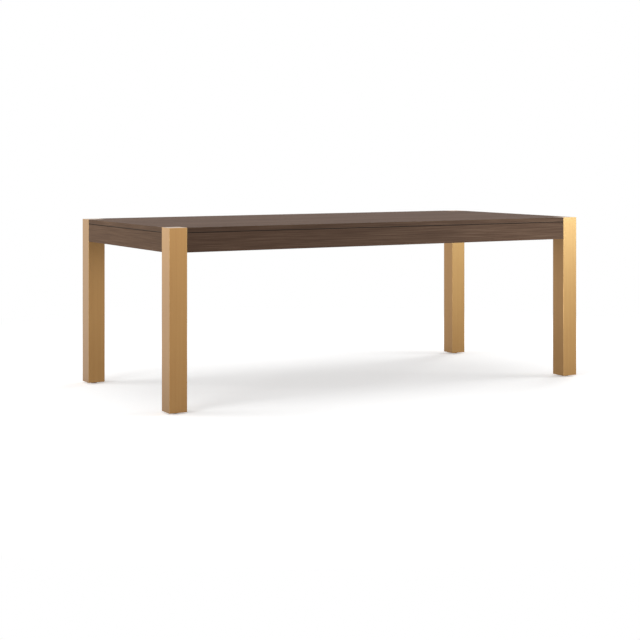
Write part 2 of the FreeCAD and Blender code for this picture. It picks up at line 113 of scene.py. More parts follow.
class Side(Enum):
    """A side of the table, as the end of its pieces' names."""

    FRONT = "front"
    RIGHT = "right"
    BACK = "back"
    LEFT = "left"

    @property
    def outward(self) -> Vector:
        """The direction that the side's outer face looks in."""
        ways = {Side.FRONT: (0, -1, 0), Side.RIGHT: (1, 0, 0), Side.BACK: (0, 1, 0), Side.LEFT: (-1, 0, 0)}
        return Vector(ways[self])

    @property
    def grain(self) -> Axis:
        """The axis that the side's wood runs along."""
        return Axis.X if self in (Side.FRONT, Side.BACK) else Axis.Y

    @property
    def number(self) -> int:
        """The side's place in the row of sides, from 0."""
        return list(Side).index(self)

    def reach(self, low: Vector, high: Vector) -> float:
        """How far the outer face of a box between two corners is from the table's middle."""
        return max(low.dot(self.outward), high.dot(self.outward))


# ---------------------------------------------------------------- at the bench: shaping meshes

def deselect() -> None:
    """Leaves nothing selected."""
    bpy.ops.object.select_all(action="DESELECT")


def hold(piece: Piece) -> None:
    """Makes a piece the only selected object, and the active one.

    Args:
        piece: The piece.
    """
    deselect()
    piece.select_set(True)
    bpy.context.view_layer.objects.active = piece


def named(piece: Piece, name: str) -> Piece:
    """Gives a piece and its mesh one name, and returns the piece."""
    piece.name = piece.data.name = name
    return piece


def settle(name: str) -> Piece:
    """Names a primitive that has just been added, and puts its place, turn and size into its mesh."""
    bpy.ops.object.transform_apply(location=True, rotation=True, scale=True)
    return named(bpy.context.object, name)


@contextmanager
def editing(piece: Piece) -> Iterator[None]:
    """Opens a piece in edit mode with nothing selected, and closes it at the end.

    Args:
        piece: The piece to open.

    Yields:
        Nothing, while the piece is open.
    """
    hold(piece)
    bpy.ops.object.mode_set(mode="EDIT")
    bpy.ops.mesh.select_all(action="DESELECT")
    yield
    bpy.ops.object.mode_set(mode="OBJECT")


def pick_faces(piece: Piece, test: Callable[[bmesh.types.BMFace], bool]) -> None:
    """Selects the faces of a piece in edit mode that pass a test, and nothing else.

    Args:
        piece: The piece that is open.
        test: What a face has to pass.
    """
    bpy.ops.mesh.select_mode(type="FACE")
    bpy.ops.mesh.select_all(action="DESELECT")
    for face in bmesh.from_edit_mesh(piece.data).faces:
        if test(face):
            face.select_set(True)
    bmesh.update_edit_mesh(piece.data)


def pick_edges(piece: Piece, test: EdgeTest) -> None:
    """Selects the edges of a piece in edit mode whose two ends pass a test, and nothing else.

    Args:
        piece: The piece that is open.
        test: What the two ends of an edge have to pass.
    """
    bpy.ops.mesh.select_mode(type="EDGE")
    bpy.ops.mesh.select_all(action="DESELECT")
    for edge in bmesh.from_edit_mesh(piece.data).edges:
        if test(edge.verts[0].co, edge.verts[1].co):
            edge.select_set(True)
    bmesh.update_edit_mesh(piece.data)


def face_outwards() -> None:
    """Selects all of the piece that is open, and turns its faces outwards."""
    bpy.ops.mesh.select_all(action="SELECT")
    bpy.ops.mesh.normals_make_consistent(inside=False)


def round_over(piece: Piece, test: EdgeTest, radius: float, segments: int = 3) -> None:
    """Rounds over the edges of a closed piece whose two ends pass a test.

    Args:
        piece: The piece, in object mode.
        test: What the two ends of an edge have to pass.
        radius: The rounding's radius.
        segments: The number of flats in the rounding.
    """
    with editing(piece):
        pick_edges(piece, test)
        bpy.ops.mesh.bevel(offset=radius, segments=segments, profile=0.5, affect="EDGES")


def is_upright(one: Vector, other: Vector) -> bool:
    """True of an edge that stands upright."""
    return (one - other).xy.length < TOUCHING


def is_level_at(level: float) -> EdgeTest:
    """A test for the edges that lie at one level."""
    return lambda one, other: abs(one.z - level) < TOUCHING and abs(other.z - level) < TOUCHING


def is_along_face(outward: Vector, reach: float) -> EdgeTest:
    """A test for the long edges of an outer face.

    Args:
        outward: The direction that the face looks in.
        reach: How far it is from the table's middle.

    Returns:
        The test.
    """
    def test(one: Vector, other: Vector) -> bool:
        """True of an edge that lies in the face and doesn't stand upright."""
        in_face = all(abs(end.dot(outward) - reach) < TOUCHING for end in (one, other))
        return in_face and not is_upright(one, other)

    return test


def block(name: str, low: Vector, high: Vector) -> Piece:
    """Adds a rectangular block between two opposite corners.

    Args:
        name: The piece's name.
        low: Its lowest corner.
        high: Its highest corner.

    Returns:
        The block, ready to be shaped.
    """
    deselect()
    bpy.ops.mesh.primitive_cube_add(size=1, location=(low + high) / 2, scale=high - low)
    return settle(name)


def turned(name: str, outline: Outline, sides: int) -> Piece:
    """Raises a closed solid about Z ring by ring, as on a lathe.

    Args:
        name: The piece's name.
        outline: The (radius, height) of each ring, from the first face to the last.
        sides: The number of sides of every ring.

    Returns:
        The solid, its first vertex on the X axis.
    """
    (radius, level), *rings = outline
    deselect()
    bpy.ops.mesh.primitive_circle_add(vertices=sides, radius=radius, fill_type="NGON",
                                      location=(0, 0, level), rotation=(0, 0, -math.pi / 2))
    piece = settle(name)
    with editing(piece):
        bpy.ops.mesh.select_all(action="SELECT")
        for next_radius, next_level in rings:
            rise = (0, 0, next_level - level)
            bpy.ops.mesh.extrude_region_move(TRANSFORM_OT_translate={"value": rise})
            share = next_radius / radius
            bpy.ops.transform.resize(value=(share, share, 1), center_override=(0, 0, next_level))
            radius, level = next_radius, next_level
        face_outwards()
    return piece


def aim(point: Vector, way: Vector) -> Matrix:
    """The placement that puts the origin at a point and turns +Z along a way."""
    turn = Vector((0, 0, 1)).rotation_difference(way)
    return Matrix.Translation(point) @ turn.to_matrix().to_4x4()


def rod(name: str, radius: float, start: Vector, end: Vector, sides: int = 32) -> Piece:
    """Adds a round rod between two points.

    Args:
        name: The piece's name.
        radius: The rod's radius.
        start: The middle of one end.
        end: The middle of the other end.
        sides: The number of sides.

    Returns:
        The rod.
    """
    piece = turned(name, [(radius, 0), (radius, (end - start).length)], sides)
    piece.data.transform(aim(start, end - start))
    return piece


def apply_modifier(piece: Piece, kind: str, **settings: object) -> None:
    """Adds a modifier to a piece and applies it.

    Args:
        piece: The piece, in object mode.
        kind: Blender's name of the modifier.
        **settings: The modifier's settings.
    """
    hold(piece)
    modifier = piece.modifiers.new(kind.lower(), kind)
    for setting, value in settings.items():
        setattr(modifier, setting, value)
    bpy.ops.object.modifier_apply(modifier=modifier.name)


def cut(piece: Piece, cutters: Sequence[Piece]) -> None:
    """Cuts cutters out of a piece, and throws the cutters away.

    Args:
        piece: The piece to cut.
        cutters: Closed solids.
    """
    for cutter in cutters:
        apply_modifier(piece, "BOOLEAN", object=cutter, operation="DIFFERENCE", solver="EXACT")
        bpy.data.objects.remove(cutter)


def joined(name: str, parts: Sequence[Piece]) -> Piece:
    """Joins several meshes into one piece.

    Args:
        name: The piece's name.
        parts: The meshes, which end up in the piece.

    Returns:
        The piece.
    """
    hold(parts[0])
    for part in parts:
        part.select_set(True)
    bpy.ops.object.join()
    return named(parts[0], name)


def copied(master: Piece, placement: Matrix) -> Piece:
    """A copy of a mesh, with its own data, put in its place.

    Args:
        master: The object to copy.
        placement: Where the copy goes.

    Returns:
        The copy, its place in its mesh.
    """
    copy = master.copy()
    copy.data = master.data.copy()
    copy.data.transform(placement)
    bpy.context.scene.collection.objects.link(copy)
    return copy


def smoothed(piece: Piece, bend: float = SOFT_BEND) -> Piece:
    """Shades roundings smooth and keeps flat faces flat.

    Args:
        piece: The finished mesh.
        bend: The sharpest bend, in degrees, that still looks round.

    Returns:
        The same piece.
    """
    hold(piece)
    bpy.ops.object.shade_smooth_by_angle(angle=math.radians(bend))
    apply_modifier(piece, "WEIGHTED_NORMAL", weight=100, keep_sharp=True)
    return piece


def mark_edges(piece: Piece) -> None:
    """Marks the roundings along a piece's edges, for the finishes that show wear and a painted highlight
    there.

    Args:
        piece: The finished mesh, its flat faces square to the axes.
    """
    marks = piece.data.attributes.new("edge_wear_and_highlight", "FLOAT", "FACE")
    for mark, face in zip(marks.data, piece.data.polygons):
        mark.value = float(max(abs(part) for part in face.normal) < SQUARE_ON)


def steel_from_cad(name: str, node: str, edge: float) -> Piece:
    """Copies a CAD node, clears its loose triangles and breaks its sharp edges.

    Args:
        name: The new piece's name.
        node: The CAD node.
        edge: The width of the broken edges.

    Returns:
        The new piece.
    """
    piece = named(copied(frame["nodes"][node], Matrix.Identity(4)), name)
    piece.parent = None
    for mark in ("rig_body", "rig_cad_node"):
        del piece[mark]
    with editing(piece):
        bpy.ops.mesh.select_all(action="SELECT")
        bpy.ops.mesh.remove_doubles(threshold=TOUCHING)
        bpy.ops.mesh.dissolve_limited(angle_limit=SAME_FACE)
    apply_modifier(piece, "BEVEL", width=edge, segments=2, limit_method="ANGLE", angle_limit=SHARP,
                   use_clamp_overlap=True)
    return smoothed(piece)


# ---------------------------------------------------------------- finishes

BLACK = (0.0, 0.0, 0.0)
MOST_NOISE = (0.3, 0.7)           # the part of 0 to 1 that soft noise seldom leaves
HALF = 0.5                        # the middle of soft noise
LACQUER_IOR = 1.5


@dataclass(frozen=True)
class Pattern:
    """Soft noise whose marks may be longer one way than the other.

    Attributes:
        along: How many marks there are to a metre along an axis.
        across: How many there are across it.
        layers: How many finer layers it has.
        strength: How strong each finer layer is, next to the one before.
    """

    along: float
    across: float
    layers: float = 2
    strength: float = 0.5


def stretched(axis: Axis, along: float, across: float) -> Triple:
    """A scale that is one number along an axis and another across it."""
    return tuple(along if axis.value == i else across for i in range(3))


class Graph:
    """The nodes of a material or a world, written one at a time."""

    def __init__(self, tree: bpy.types.NodeTree) -> None:
        """Starts with an empty tree."""
        self.tree = tree
        tree.nodes.clear()

    def fill(self, socket: Socket, value: object) -> None:
        """Links a socket to a node's output, or sets it to a number, a vector or a colour.

        Args:
            socket: The socket.
            value: What goes into it.
        """
        if isinstance(value, Socket):
            self.tree.links.new(value, socket)
        else:
            socket.default_value = value

    def node(self, kind: str, sockets: dict[str | int, object], **settings: object) -> bpy.types.Node:
        """Adds a node.

        Args:
            kind: The node's type, without its leading "ShaderNode".
            sockets: What its inputs are filled with, by name or number.
            **settings: Its own settings.

        Returns:
            The node.
        """
        made = self.tree.nodes.new("ShaderNode" + kind)
        for setting, value in settings.items():
            setattr(made, setting, value)
        for socket, value in sockets.items():
            self.fill(made.inputs[socket], value)
        return made

    def place(self, scale: Triple = (1, 1, 1), shift: Triple = (0, 0, 0)) -> Socket:
        """The place on the piece in pattern units, which are scale to a metre, moved by a shift."""
        here = self.node("TexCoord", {}).outputs["Object"]
        return self.node("Mapping", {"Vector": here, "Location": shift, "Scale": scale}).outputs["Vector"]

    def parts(self) -> bpy.types.bpy_prop_collection:
        """The place on the piece in metres, as its X, Y and Z outputs."""
        return self.node("SeparateXYZ", {"Vector": self.place()}).outputs

    def noise(self, where: Socket, layers: float, strength: float,
              swirl: float = 0) -> Socket:
        """Soft noise of one pattern unit's size, from 0 to 1.

        Args:
            where: Where it is read.
            layers: How many finer layers it has.
            strength: How strong each finer layer is.
            swirl: How far it swirls.

        Returns:
            The noise.
        """
        made = self.node("TexNoise", {"Vector": where, "Scale": 1.0, "Detail": layers})
        self.fill(made.inputs["Roughness"], strength)
        self.fill(made.inputs["Distortion"], swirl)
        return made.outputs["Fac"]

    def pattern(self, pattern: Pattern, axis: Axis = Axis.Z, shift: Triple = (0, 0, 0)) -> Socket:
        """A pattern whose marks run along an axis, moved by a shift, as a number from 0 to 1."""
        where = self.place(stretched(axis, pattern.along, pattern.across), shift)
        return self.noise(where, pattern.layers, pattern.strength)

    def ramp(self, factor: Socket, places: Sequence[float],
             colours: Sequence[Colour]) -> Socket:
        """A colour picked from a row of colours.

        Args:
            factor: Where along the row, from 0 to 1.
            places: Where each colour stands in it.
            colours: The colours.

        Returns:
            The colour.
        """
        made = self.node("ValToRGB", {"Fac": factor})
        elements = made.color_ramp.elements
        while len(elements) < len(colours):
            elements.new(1.0)
        for element, place, colour in zip(elements, places, colours):
            element.position = place
            element.color = (*colour, 1)
        return made.outputs["Color"]

    def scaled(self, value: Socket, low: float, high: float, to_low: float = 0,
               to_high: float = 1) -> Socket:
        """A number moved from the range low to high into the range to_low to to_high, and held inside it."""
        sockets = {"Value": value, "From Min": low, "From Max": high, "To Min": to_low, "To Max": to_high}
        return self.node("MapRange", sockets).outputs["Result"]

    def sum(self, operation: str, *terms: object) -> Socket:
        """The result of one sum of outputs and numbers, under Blender's name for it, such as ADD."""
        return self.node("Math", dict(enumerate(terms)), operation=operation).outputs["Value"]

    def mixed(self, *shares: tuple[Socket, float]) -> Socket:
        """Several numbers, each multiplied by its share, added up.

        Args:
            *shares: The (number, share) of each.

        Returns:
            The total.
        """
        total = 0.0
        for value, share in shares:
            total = self.sum("MULTIPLY_ADD", value, share, total)
        return total

    def tinted(self, colour: object, other: object, share: object) -> Socket:
        """Two colours mixed.

        Args:
            colour: The first colour.
            other: The second colour.
            share: How much of the second there is, from 0 to 1.

        Returns:
            The mixed colour.
        """
        mix = self.node("Mix", {}, data_type="RGBA")
        for socket, value in zip(("Factor_Float", "A_Color", "B_Color"), (share, colour, other)):
            target = next(i for i in mix.inputs if i.identifier == socket)
            self.fill(target, (*value, 1) if isinstance(value, tuple) else value)
        return next(o for o in mix.outputs if o.identifier == "Result_Color")

    def either(self, share: object, one: Socket, other: Socket) -> Socket:
        """Two shaders mixed: the first where the share is 0, the other where it is 1."""
        return self.node("MixShader", {0: share, 1: one, 2: other}).outputs["Shader"]

    def eye(self) -> Socket:
        """Tells what is seen, by the camera, in gloss or through glass, from what only gives light.

        Returns:
            1 for what is seen, and 0 for the rest.
        """
        rays = self.node("LightPath", {}).outputs
        gloss = self.sum("MAXIMUM", rays["Is Glossy Ray"], rays["Is Transmission Ray"])
        return self.sum("MAXIMUM", rays["Is Camera Ray"], gloss)


class Surface(Graph):
    """The nodes of a finish, round one shader."""

    def __init__(self, name: str) -> None:
        """Starts a material with a bare shader.

        Args:
            name: The material's name.
        """
        self.material = bpy.data.materials.new(name)
        self.material.use_nodes = True
        super().__init__(self.material.node_tree)
        self.shader = self.node("BsdfPrincipled", {})
        self.node("OutputMaterial", {"Surface": self.shader.outputs["BSDF"]})

    def set(self, **sockets: object) -> None:
        """Fills the shader's sockets, named with underscores for spaces."""
        for name, value in sockets.items():
            self.fill(self.shader.inputs[name.replace("_", " ")], value)

    def wear_and_highlight(self, patches: Pattern, patch_range: Span = (0.35, 0.65), least: float = 0.4) -> Socket:
        """How worn the surface is, and where it gets a painted highlight: 0 on the flats, up to 1 along the
        marked edges.

        Args:
            patches: The patches of more and less wear and painted highlight.
            patch_range: From what to what of the patches the wear and painted highlight grow.
            least: The least wear and painted highlight along an edge.

        Returns:
            The wear and painted highlight.
        """
        edges = self.node("Attribute", {}, attribute_name="edge_wear_and_highlight").outputs["Fac"]
        worn_and_highlit = self.scaled(self.pattern(patches), *patch_range, least, 1)
        return self.sum("MULTIPLY", edges, worn_and_highlit)

    def relief(self, height: Socket, depth: float, strength: float) -> None:
        """Gives the shader a relief of a height from 0 to 1, a depth in metres and a strength."""
        bump = self.node("Bump", {"Height": height, "Distance": depth, "Strength": strength})
        self.fill(self.shader.inputs["Normal"], bump.outputs["Normal"])


@dataclass(frozen=True)
class Walnut:
    """Dark walnut under a matt lacquer, its grain along one axis.

    Attributes:
        grain: The axis that the grain runs along.
        board: A number that gives each board its own stretch of grain.
        board_step: How far apart in the tree two boards are, in pattern units.
        leaf: The width of the veneer's leaves across the grain, or 0 for solid wood.
        leaf_step: How far apart in the tree two leaves are, in pattern units.
        groove: The groove's lower level, and how far its back is from the table's middle, or nothing.
        groove_shade: How dark the painted shade in the groove is, where 1 is black.
        groove_shade_edge: How deep behind the groove's faces the painted shade starts, and where it is full.
        heart: The tone between the streaks.
        early: The lighter tone of the early wood.
        late: The darker tone of the late wood.
        tones: Where late wood, heart and early wood stand in the grain's range.
        streaks: The dark and light streaks.
        fibre: The fine fibre.
        fibre_share: How far the fibre moves the tone.
        fibre_relief: How high the fibre stands, next to the pores' depth.
        pores: The pores.
        pore_range: From what to what of their noise the pores open.
        pore_tint: How dark an open pore is, where 1 is late wood.
        pore_matt: How much more matt it is.
        rings: How many swells of the growth rings there are to a metre, along the grain and across it.
        ring_turns: How many growth rings there are to a swell, in radians.
        ring_range: How dark and how light the rings are.
        broad: The share of broad noise in the growth rings' tone; the rings have the rest.
        figured: How much the growth rings show next to the streaks.
        wear_and_highlight: The patches of wear and painted highlight along the edges.
        wear_and_highlight_tint: How light a worn edge with its painted highlight is, where 1 is early wood.
        roughness: How matt the lacquer is, where it is least and most so.
        specular: The strength of the lacquer's reflection.
        relief: The relief's depth and strength.
    """

    grain: Axis
    board: int = 0
    board_step: Triple = (3.7, 11.3, 5.9)
    leaf: float = 0.0
    leaf_step: float = 7.31
    groove: Span | None = None
    groove_shade: float = 0.65
    groove_shade_edge: Span = (0.0003, 0.0001)
    heart: Colour = (0.120, 0.068, 0.0445)
    early: Colour = (0.181, 0.110, 0.074)
    late: Colour = (0.077, 0.042, 0.0275)
    tones: Triple = (0.30, 0.50, 0.72)
    streaks: Pattern = Pattern(4.5, 300, 4, 0.6)
    fibre: Pattern = Pattern(9, 900, 3, 0.6)
    fibre_share: float = 0.16
    fibre_relief: float = 0.35
    pores: Pattern = Pattern(70, 2400, 1)
    pore_range: Span = (0.66, 0.74)
    pore_tint: float = 0.55
    pore_matt: float = 0.12
    rings: Span = (0.55, 5.5)
    ring_turns: float = 46.0
    ring_range: Span = (0.22, 0.78)
    broad: float = 0.5
    figured: float = 0.147
    wear_and_highlight: Pattern = Pattern(14, 14, 3, 0.6)
    wear_and_highlight_tint: float = 0.5
    roughness: Span = (0.61, 0.68)
    specular: float = 0.08
    relief: Span = (0.00005, 0.5)

    def shift(self) -> Triple:
        """Where in the tree the board was cut, in pattern units."""
        return tuple(step * self.board for step in self.board_step)

    def material(self) -> bpy.types.Material:
        """Writes the finish as a material.

        Returns:
            The material.
        """
        graph = Surface(f"walnut_{self.grain.name.lower()}_{self.board}")
        figure = self.figure(graph)
        streaks = graph.pattern(self.streaks, self.grain, self.shift())
        fibre = graph.pattern(self.fibre, self.grain, self.shift())
        pores = graph.scaled(graph.pattern(self.pores, self.grain, self.shift()), *self.pore_range)
        lift = graph.sum("SUBTRACT", fibre, HALF)
        tone = graph.mixed((figure, self.figured), (streaks, 1 - self.figured), (lift, self.fibre_share))
        colour = graph.ramp(tone, self.tones, (self.late, self.heart, self.early))
        colour = graph.tinted(colour, self.late, graph.sum("MULTIPLY", pores, self.pore_tint))
        if self.groove:
            # Painted shade: the groove's faces are darkened towards black, as shade in the recess would
            # darken them.
            colour = graph.tinted(colour, BLACK, self.painted_groove_shade(graph, *self.groove))
        # Painted highlight and wear: the marked edges are lightened towards early wood.
        worn_and_highlit = graph.sum("MULTIPLY", graph.wear_and_highlight(self.wear_and_highlight), self.wear_and_highlight_tint)
        graph.set(Base_Color=graph.tinted(colour, self.early, worn_and_highlit))
        graph.set(IOR=LACQUER_IOR, Specular_IOR_Level=self.specular)
        matt = graph.scaled(streaks, *MOST_NOISE, *self.roughness)
        graph.set(Roughness=graph.sum("MULTIPLY_ADD", pores, self.pore_matt, matt))
        raised = graph.sum("MULTIPLY", fibre, self.fibre_relief)
        graph.relief(graph.sum("SUBTRACT", raised, pores), *self.relief)
        return graph.material

    def figure(self, graph: Graph) -> Socket:
        """The growth rings, as contours of a slow swell along the board.

        Args:
            graph: The material's nodes.

        Returns:
            The rings, from 0 to 1.
        """
        where = graph.place(stretched(self.grain, *self.rings), self.shift())
        if self.leaf:
            where = self.in_leaves(graph, where)
        swell = graph.noise(where, layers=2, strength=0.45, swirl=0.25)
        rings = graph.sum("SINE", graph.sum("MULTIPLY", swell, self.ring_turns))
        soft = graph.scaled(rings, -1, 1, *self.ring_range)
        broad = graph.noise(where, layers=3, strength=0.5)
        return graph.mixed((soft, 1 - self.broad), (broad, self.broad))

    def painted_groove_shade(self, graph: Graph, level: float, back: float) -> Socket:
        """Where the groove's painted shade is: above the groove's lower level and outside its back.

        Args:
            graph: The material's nodes.
            level: The groove's lower level.
            back: How far the groove's back is from the table's middle.

        Returns:
            How much painted shade there is.
        """
        start, full = self.groove_shade_edge
        place = graph.parts()
        across = graph.sum("ABSOLUTE", place["Y" if self.grain is Axis.X else "X"])
        outside = graph.scaled(across, back - start, back - full)
        height = graph.sum("MULTIPLY", place["Z"], outside)
        return graph.scaled(height, level - start, level - full, 0, self.groove_shade)

    def in_leaves(self, graph: Graph, where: Socket) -> Socket:
        """Moves the pattern to another part of the tree in each leaf of the veneer.

        Args:
            graph: The material's nodes.
            where: The pattern's vector.

        Returns:
            The vector, moved by a step for each leaf.
        """
        from_edge = graph.sum("ADD", graph.parts()["Y"], self.leaf / 2)
        leaf = graph.sum("FLOOR", graph.sum("DIVIDE", from_edge, self.leaf))
        step = graph.sum("MULTIPLY", leaf, self.leaf_step)
        apart = graph.node("CombineXYZ", {"X": step, "Z": step}).outputs["Vector"]
        return graph.node("VectorMath", {0: where, 1: apart}, operation="ADD").outputs["Vector"]


@dataclass(frozen=True)
class BrushedBrass:
    """Satin brass, brushed along one axis and lacquered.

    Attributes:
        brushing: The axis that the brush marks run along.
        bright: The metal's colour on the brush's ridges.
        warm: The metal's colour where it is toned a little warmer.
        rubbed_highlight: The metal's colour where edges are rubbed bright, with a painted highlight.
        tones: Where warm and bright metal stand in the brushing's range.
        marks: The fine marks of the brush.
        strokes: Its broader strokes.
        clouds: The metal's faint clouds, the same whichever way it is brushed.
        bands: The bands that the brush leaves.
        shares: The shares of marks, strokes, clouds and bands in the tone.
        wear_and_highlight: The patches of wear and painted highlight along the edges.
        wear_and_highlight_tint: How bright a worn edge with its painted highlight is, where 1 is rubbed
            metal.
        wear_matt: How much more matt it is; less than 0 is glossier.
        roughness: How satin the brushed metal is, where it is least and most so.
        cloud_matt: How much the clouds change that.
        coat: How much lacquer there is.
        coat_roughness: How satin the lacquer is.
        stroke_relief: How high the strokes stand next to the marks.
        relief: The relief's depth and strength.
    """

    brushing: Axis
    bright: Colour = (0.376, 0.203, 0.064)
    warm: Colour = (0.337, 0.172, 0.051)
    rubbed_highlight: Colour = (0.52, 0.33, 0.14)
    tones: Span = (0.40, 0.60)
    marks: Pattern = Pattern(14, 3400, 3, 0.6)
    strokes: Pattern = Pattern(3, 520, 3, 0.6)
    clouds: Pattern = Pattern(4, 5, 3)
    bands: Pattern = Pattern(1.6, 95)
    shares: tuple[float, ...] = (0.3, 0.3, 0.18, 0.22)
    wear_and_highlight: Pattern = Pattern(30, 30, 3, 0.6)
    wear_and_highlight_tint: float = 0.6
    wear_matt: float = -0.08
    roughness: Span = (0.35, 0.46)
    cloud_matt: float = 0.06
    coat: float = 0.6
    coat_roughness: float = 0.3
    stroke_relief: float = 0.4
    relief: Span = (0.00002, 0.7)

    def material(self) -> bpy.types.Material:
        """Writes the finish as a material.

        Returns:
            The material.
        """
        graph = Surface(f"brushed_brass_{self.brushing.name.lower()}")
        brushed = (self.marks, self.strokes, self.bands)
        marks, strokes, bands = (graph.pattern(pattern, self.brushing) for pattern in brushed)
        clouds = graph.pattern(self.clouds)
        tone = graph.mixed(*zip((marks, strokes, clouds, bands), self.shares))
        worn_and_highlit = graph.wear_and_highlight(self.wear_and_highlight)
        colour = graph.ramp(tone, self.tones, (self.warm, self.bright))
        # Painted highlight and wear: the marked edges are brightened towards rubbed metal.
        colour = graph.tinted(colour, self.rubbed_highlight, graph.sum("MULTIPLY", worn_and_highlit, self.wear_and_highlight_tint))
        graph.set(Base_Color=colour, Metallic=1.0)
        rough = graph.scaled(marks, *MOST_NOISE, *self.roughness)
        rough = graph.sum("MULTIPLY_ADD", graph.sum("SUBTRACT", clouds, HALF), self.cloud_matt, rough)
        graph.set(Roughness=graph.sum("MULTIPLY_ADD", worn_and_highlit, self.wear_matt, rough))
        graph.set(Coat_Weight=self.coat, Coat_Roughness=self.coat_roughness, Coat_IOR=LACQUER_IOR)
        graph.relief(graph.sum("MULTIPLY_ADD", strokes, self.stroke_relief, marks), *self.relief)
        return graph.material


@dataclass(frozen=True)
class Mottled:
    """A plain finish of two tones, with a fine and a broad pattern in it.

    Attributes:
        name: The material's name.
        light: The lighter tone.
        dark: The darker tone.
        fine: The fine pattern, which is also the relief.
        broad: The broad pattern.
        axis: The axis that both patterns run along.
        fine_in_tone: The fine pattern's share in the tone; the broad one has the rest.
        fine_in_gloss: The fine pattern's share in the gloss; the broad one has the rest.
        tones: Where dark and light stand in the patterns' range.
        roughness: How matt it is, where it is least and most so; two equal numbers make it even.
        metallic: 1 for bare metal, or 0.
        specular: The strength of the reflection.
        relief: The relief's depth and strength.
    """

    name: str
    light: Colour
    dark: Colour
    fine: Pattern
    broad: Pattern
    axis: Axis = Axis.Z
    fine_in_tone: float = 0.0
    fine_in_gloss: float = 0.0
    tones: Span = MOST_NOISE
    roughness: Span = (0.5, 0.6)
    metallic: float = 0.0
    specular: float = 0.5
    relief: Span = (0.00001, 0.5)

    def material(self) -> bpy.types.Material:
        """Writes the finish as a material.

        Returns:
            The material.
        """
        graph = Surface(self.name)
        fine = graph.pattern(self.fine, self.axis)
        broad = graph.pattern(self.broad, self.axis)
        tone = graph.mixed((broad, 1 - self.fine_in_tone), (fine, self.fine_in_tone))
        gloss = graph.mixed((broad, 1 - self.fine_in_gloss), (fine, self.fine_in_gloss))
        graph.set(Base_Color=graph.ramp(tone, self.tones, (self.dark, self.light)))
        least, most = self.roughness
        graph.set(Roughness=least if least == most else graph.scaled(gloss, *MOST_NOISE, least, most))
        graph.set(Metallic=self.metallic, Specular_IOR_Level=self.specular)
        graph.relief(fine, *self.relief)
        return graph.material


@dataclass(frozen=True)
class PlainWood(Mottled):
    """Sealed wood that stays out of sight, its grain along one axis."""

    fine: Pattern = Pattern(25, 1500)
    broad: Pattern = Pattern(1.5, 40, 4, 0.6)
    fine_in_tone: float = 0.35
    fine_in_gloss: float = 1.0
    roughness: Span = (0.55, 0.68)
    specular: float = 0.3
    relief: Span = (0.00006, 0.6)


@dataclass(frozen=True)
class Fibreboard(Mottled):
    """Pressed fibre, hidden between the veneers."""

    name: str = "fibreboard"
    light: Colour = (0.33, 0.22, 0.13)
    dark: Colour = (0.22, 0.14, 0.08)
    fine: Pattern = Pattern(5200, 1800, 4, 0.7)
    broad: Pattern = Pattern(60, 60)
    fine_in_tone: float = 0.7
    tones: Span = (0.35, 0.65)
    roughness: Span = (0.85, 0.85)
    specular: float = 0.2
    relief: Span = (0.0001, 1.0)


@dataclass(frozen=True)
class ZincPlate(Mottled):
    """Bright zinc plating on steel, with its faint clouding."""

    name: str = "zinc_plate"
    light: Colour = (0.62, 0.64, 0.67)
    dark: Colour = (0.47, 0.49, 0.52)
    fine: Pattern = Pattern(2600, 2600)
    broad: Pattern = Pattern(140, 140, 4, 0.6)
    roughness: Span = (0.27, 0.42)
    metallic: float = 1.0


@dataclass(frozen=True)
class PowderCoat(Mottled):
    """Black powder coat with a fine orange-peel texture."""

    name: str = "black_powder_coat"
    light: Colour = (0.026, 0.026, 0.028)
    dark: Colour = (0.012, 0.012, 0.013)
    fine: Pattern = Pattern(900, 900)
    broad: Pattern = Pattern(30, 30)
    fine_in_tone: float = 1.0
    tones: Span = (0.3, 0.75)
    roughness: Span = (0.44, 0.54)
    specular: float = 0.4
    relief: Span = (0.00008, 0.7)


@dataclass(frozen=True)
class MouldedNylon(Mottled):
    """Dark moulded nylon with a fine spark-eroded grain and level scuffs."""

    name: str = "moulded_nylon"
    light: Colour = (0.034, 0.032, 0.030)
    dark: Colour = (0.020, 0.019, 0.018)
    fine: Pattern = Pattern(1500, 1500, 3, 0.6)
    broad: Pattern = Pattern(400, 90)
    fine_in_gloss: float = 1.0
    tones: Span = (0.35, 0.75)
    roughness: Span = (0.44, 0.56)
    specular: float = 0.4
    relief: Span = (0.00004, 0.6)


Finish = Walnut | BrushedBrass | Mottled

LEG_BRASS = BrushedBrass(Axis.Z)
CAP_BRASS = BrushedBrass(Axis.X)
ZINC = ZincPlate()
HARDWOOD = PlainWood("rail_hardwood", light=(0.24, 0.155, 0.095), dark=(0.15, 0.09, 0.055), axis=Axis.Y)
BACKING = PlainWood("backing_veneer", light=(0.135, 0.088, 0.062), dark=(0.082, 0.052, 0.037), axis=Axis.X)


class Paint:
    """Keeps one material for each finish, and puts finishes on pieces."""

    def __init__(self) -> None:
        """Starts with no materials."""
        self.made: dict[Finish, bpy.types.Material] = {}

    def material(self, finish: Finish) -> bpy.types.Material:
        """The material of a finish, made the first time it is asked for.

        Args:
            finish: The finish.

        Returns:
            Its material.
        """
        if finish not in self.made:
            self.made[finish] = finish.material()
        return self.made[finish]

    def coat(self, piece: Piece, finish: Finish) -> None:
        """Gives a new piece its finish."""
        piece.data.materials.clear()
        piece.data.materials.append(self.material(finish))

    def coat_node(self, node: str, finish: Finish) -> None:
        """Gives a carried-over CAD node its finish.

        Args:
            node: The CAD node.
            finish: The finish.
        """
        piece = frame["nodes"][node]
        if not piece.material_slots:
            piece.data.materials.append(None)
        for slot in piece.material_slots:
            slot.material = self.material(finish)
        log.info("kept %s with finish %s", node, self.material(finish).name)


PAINT = Paint()


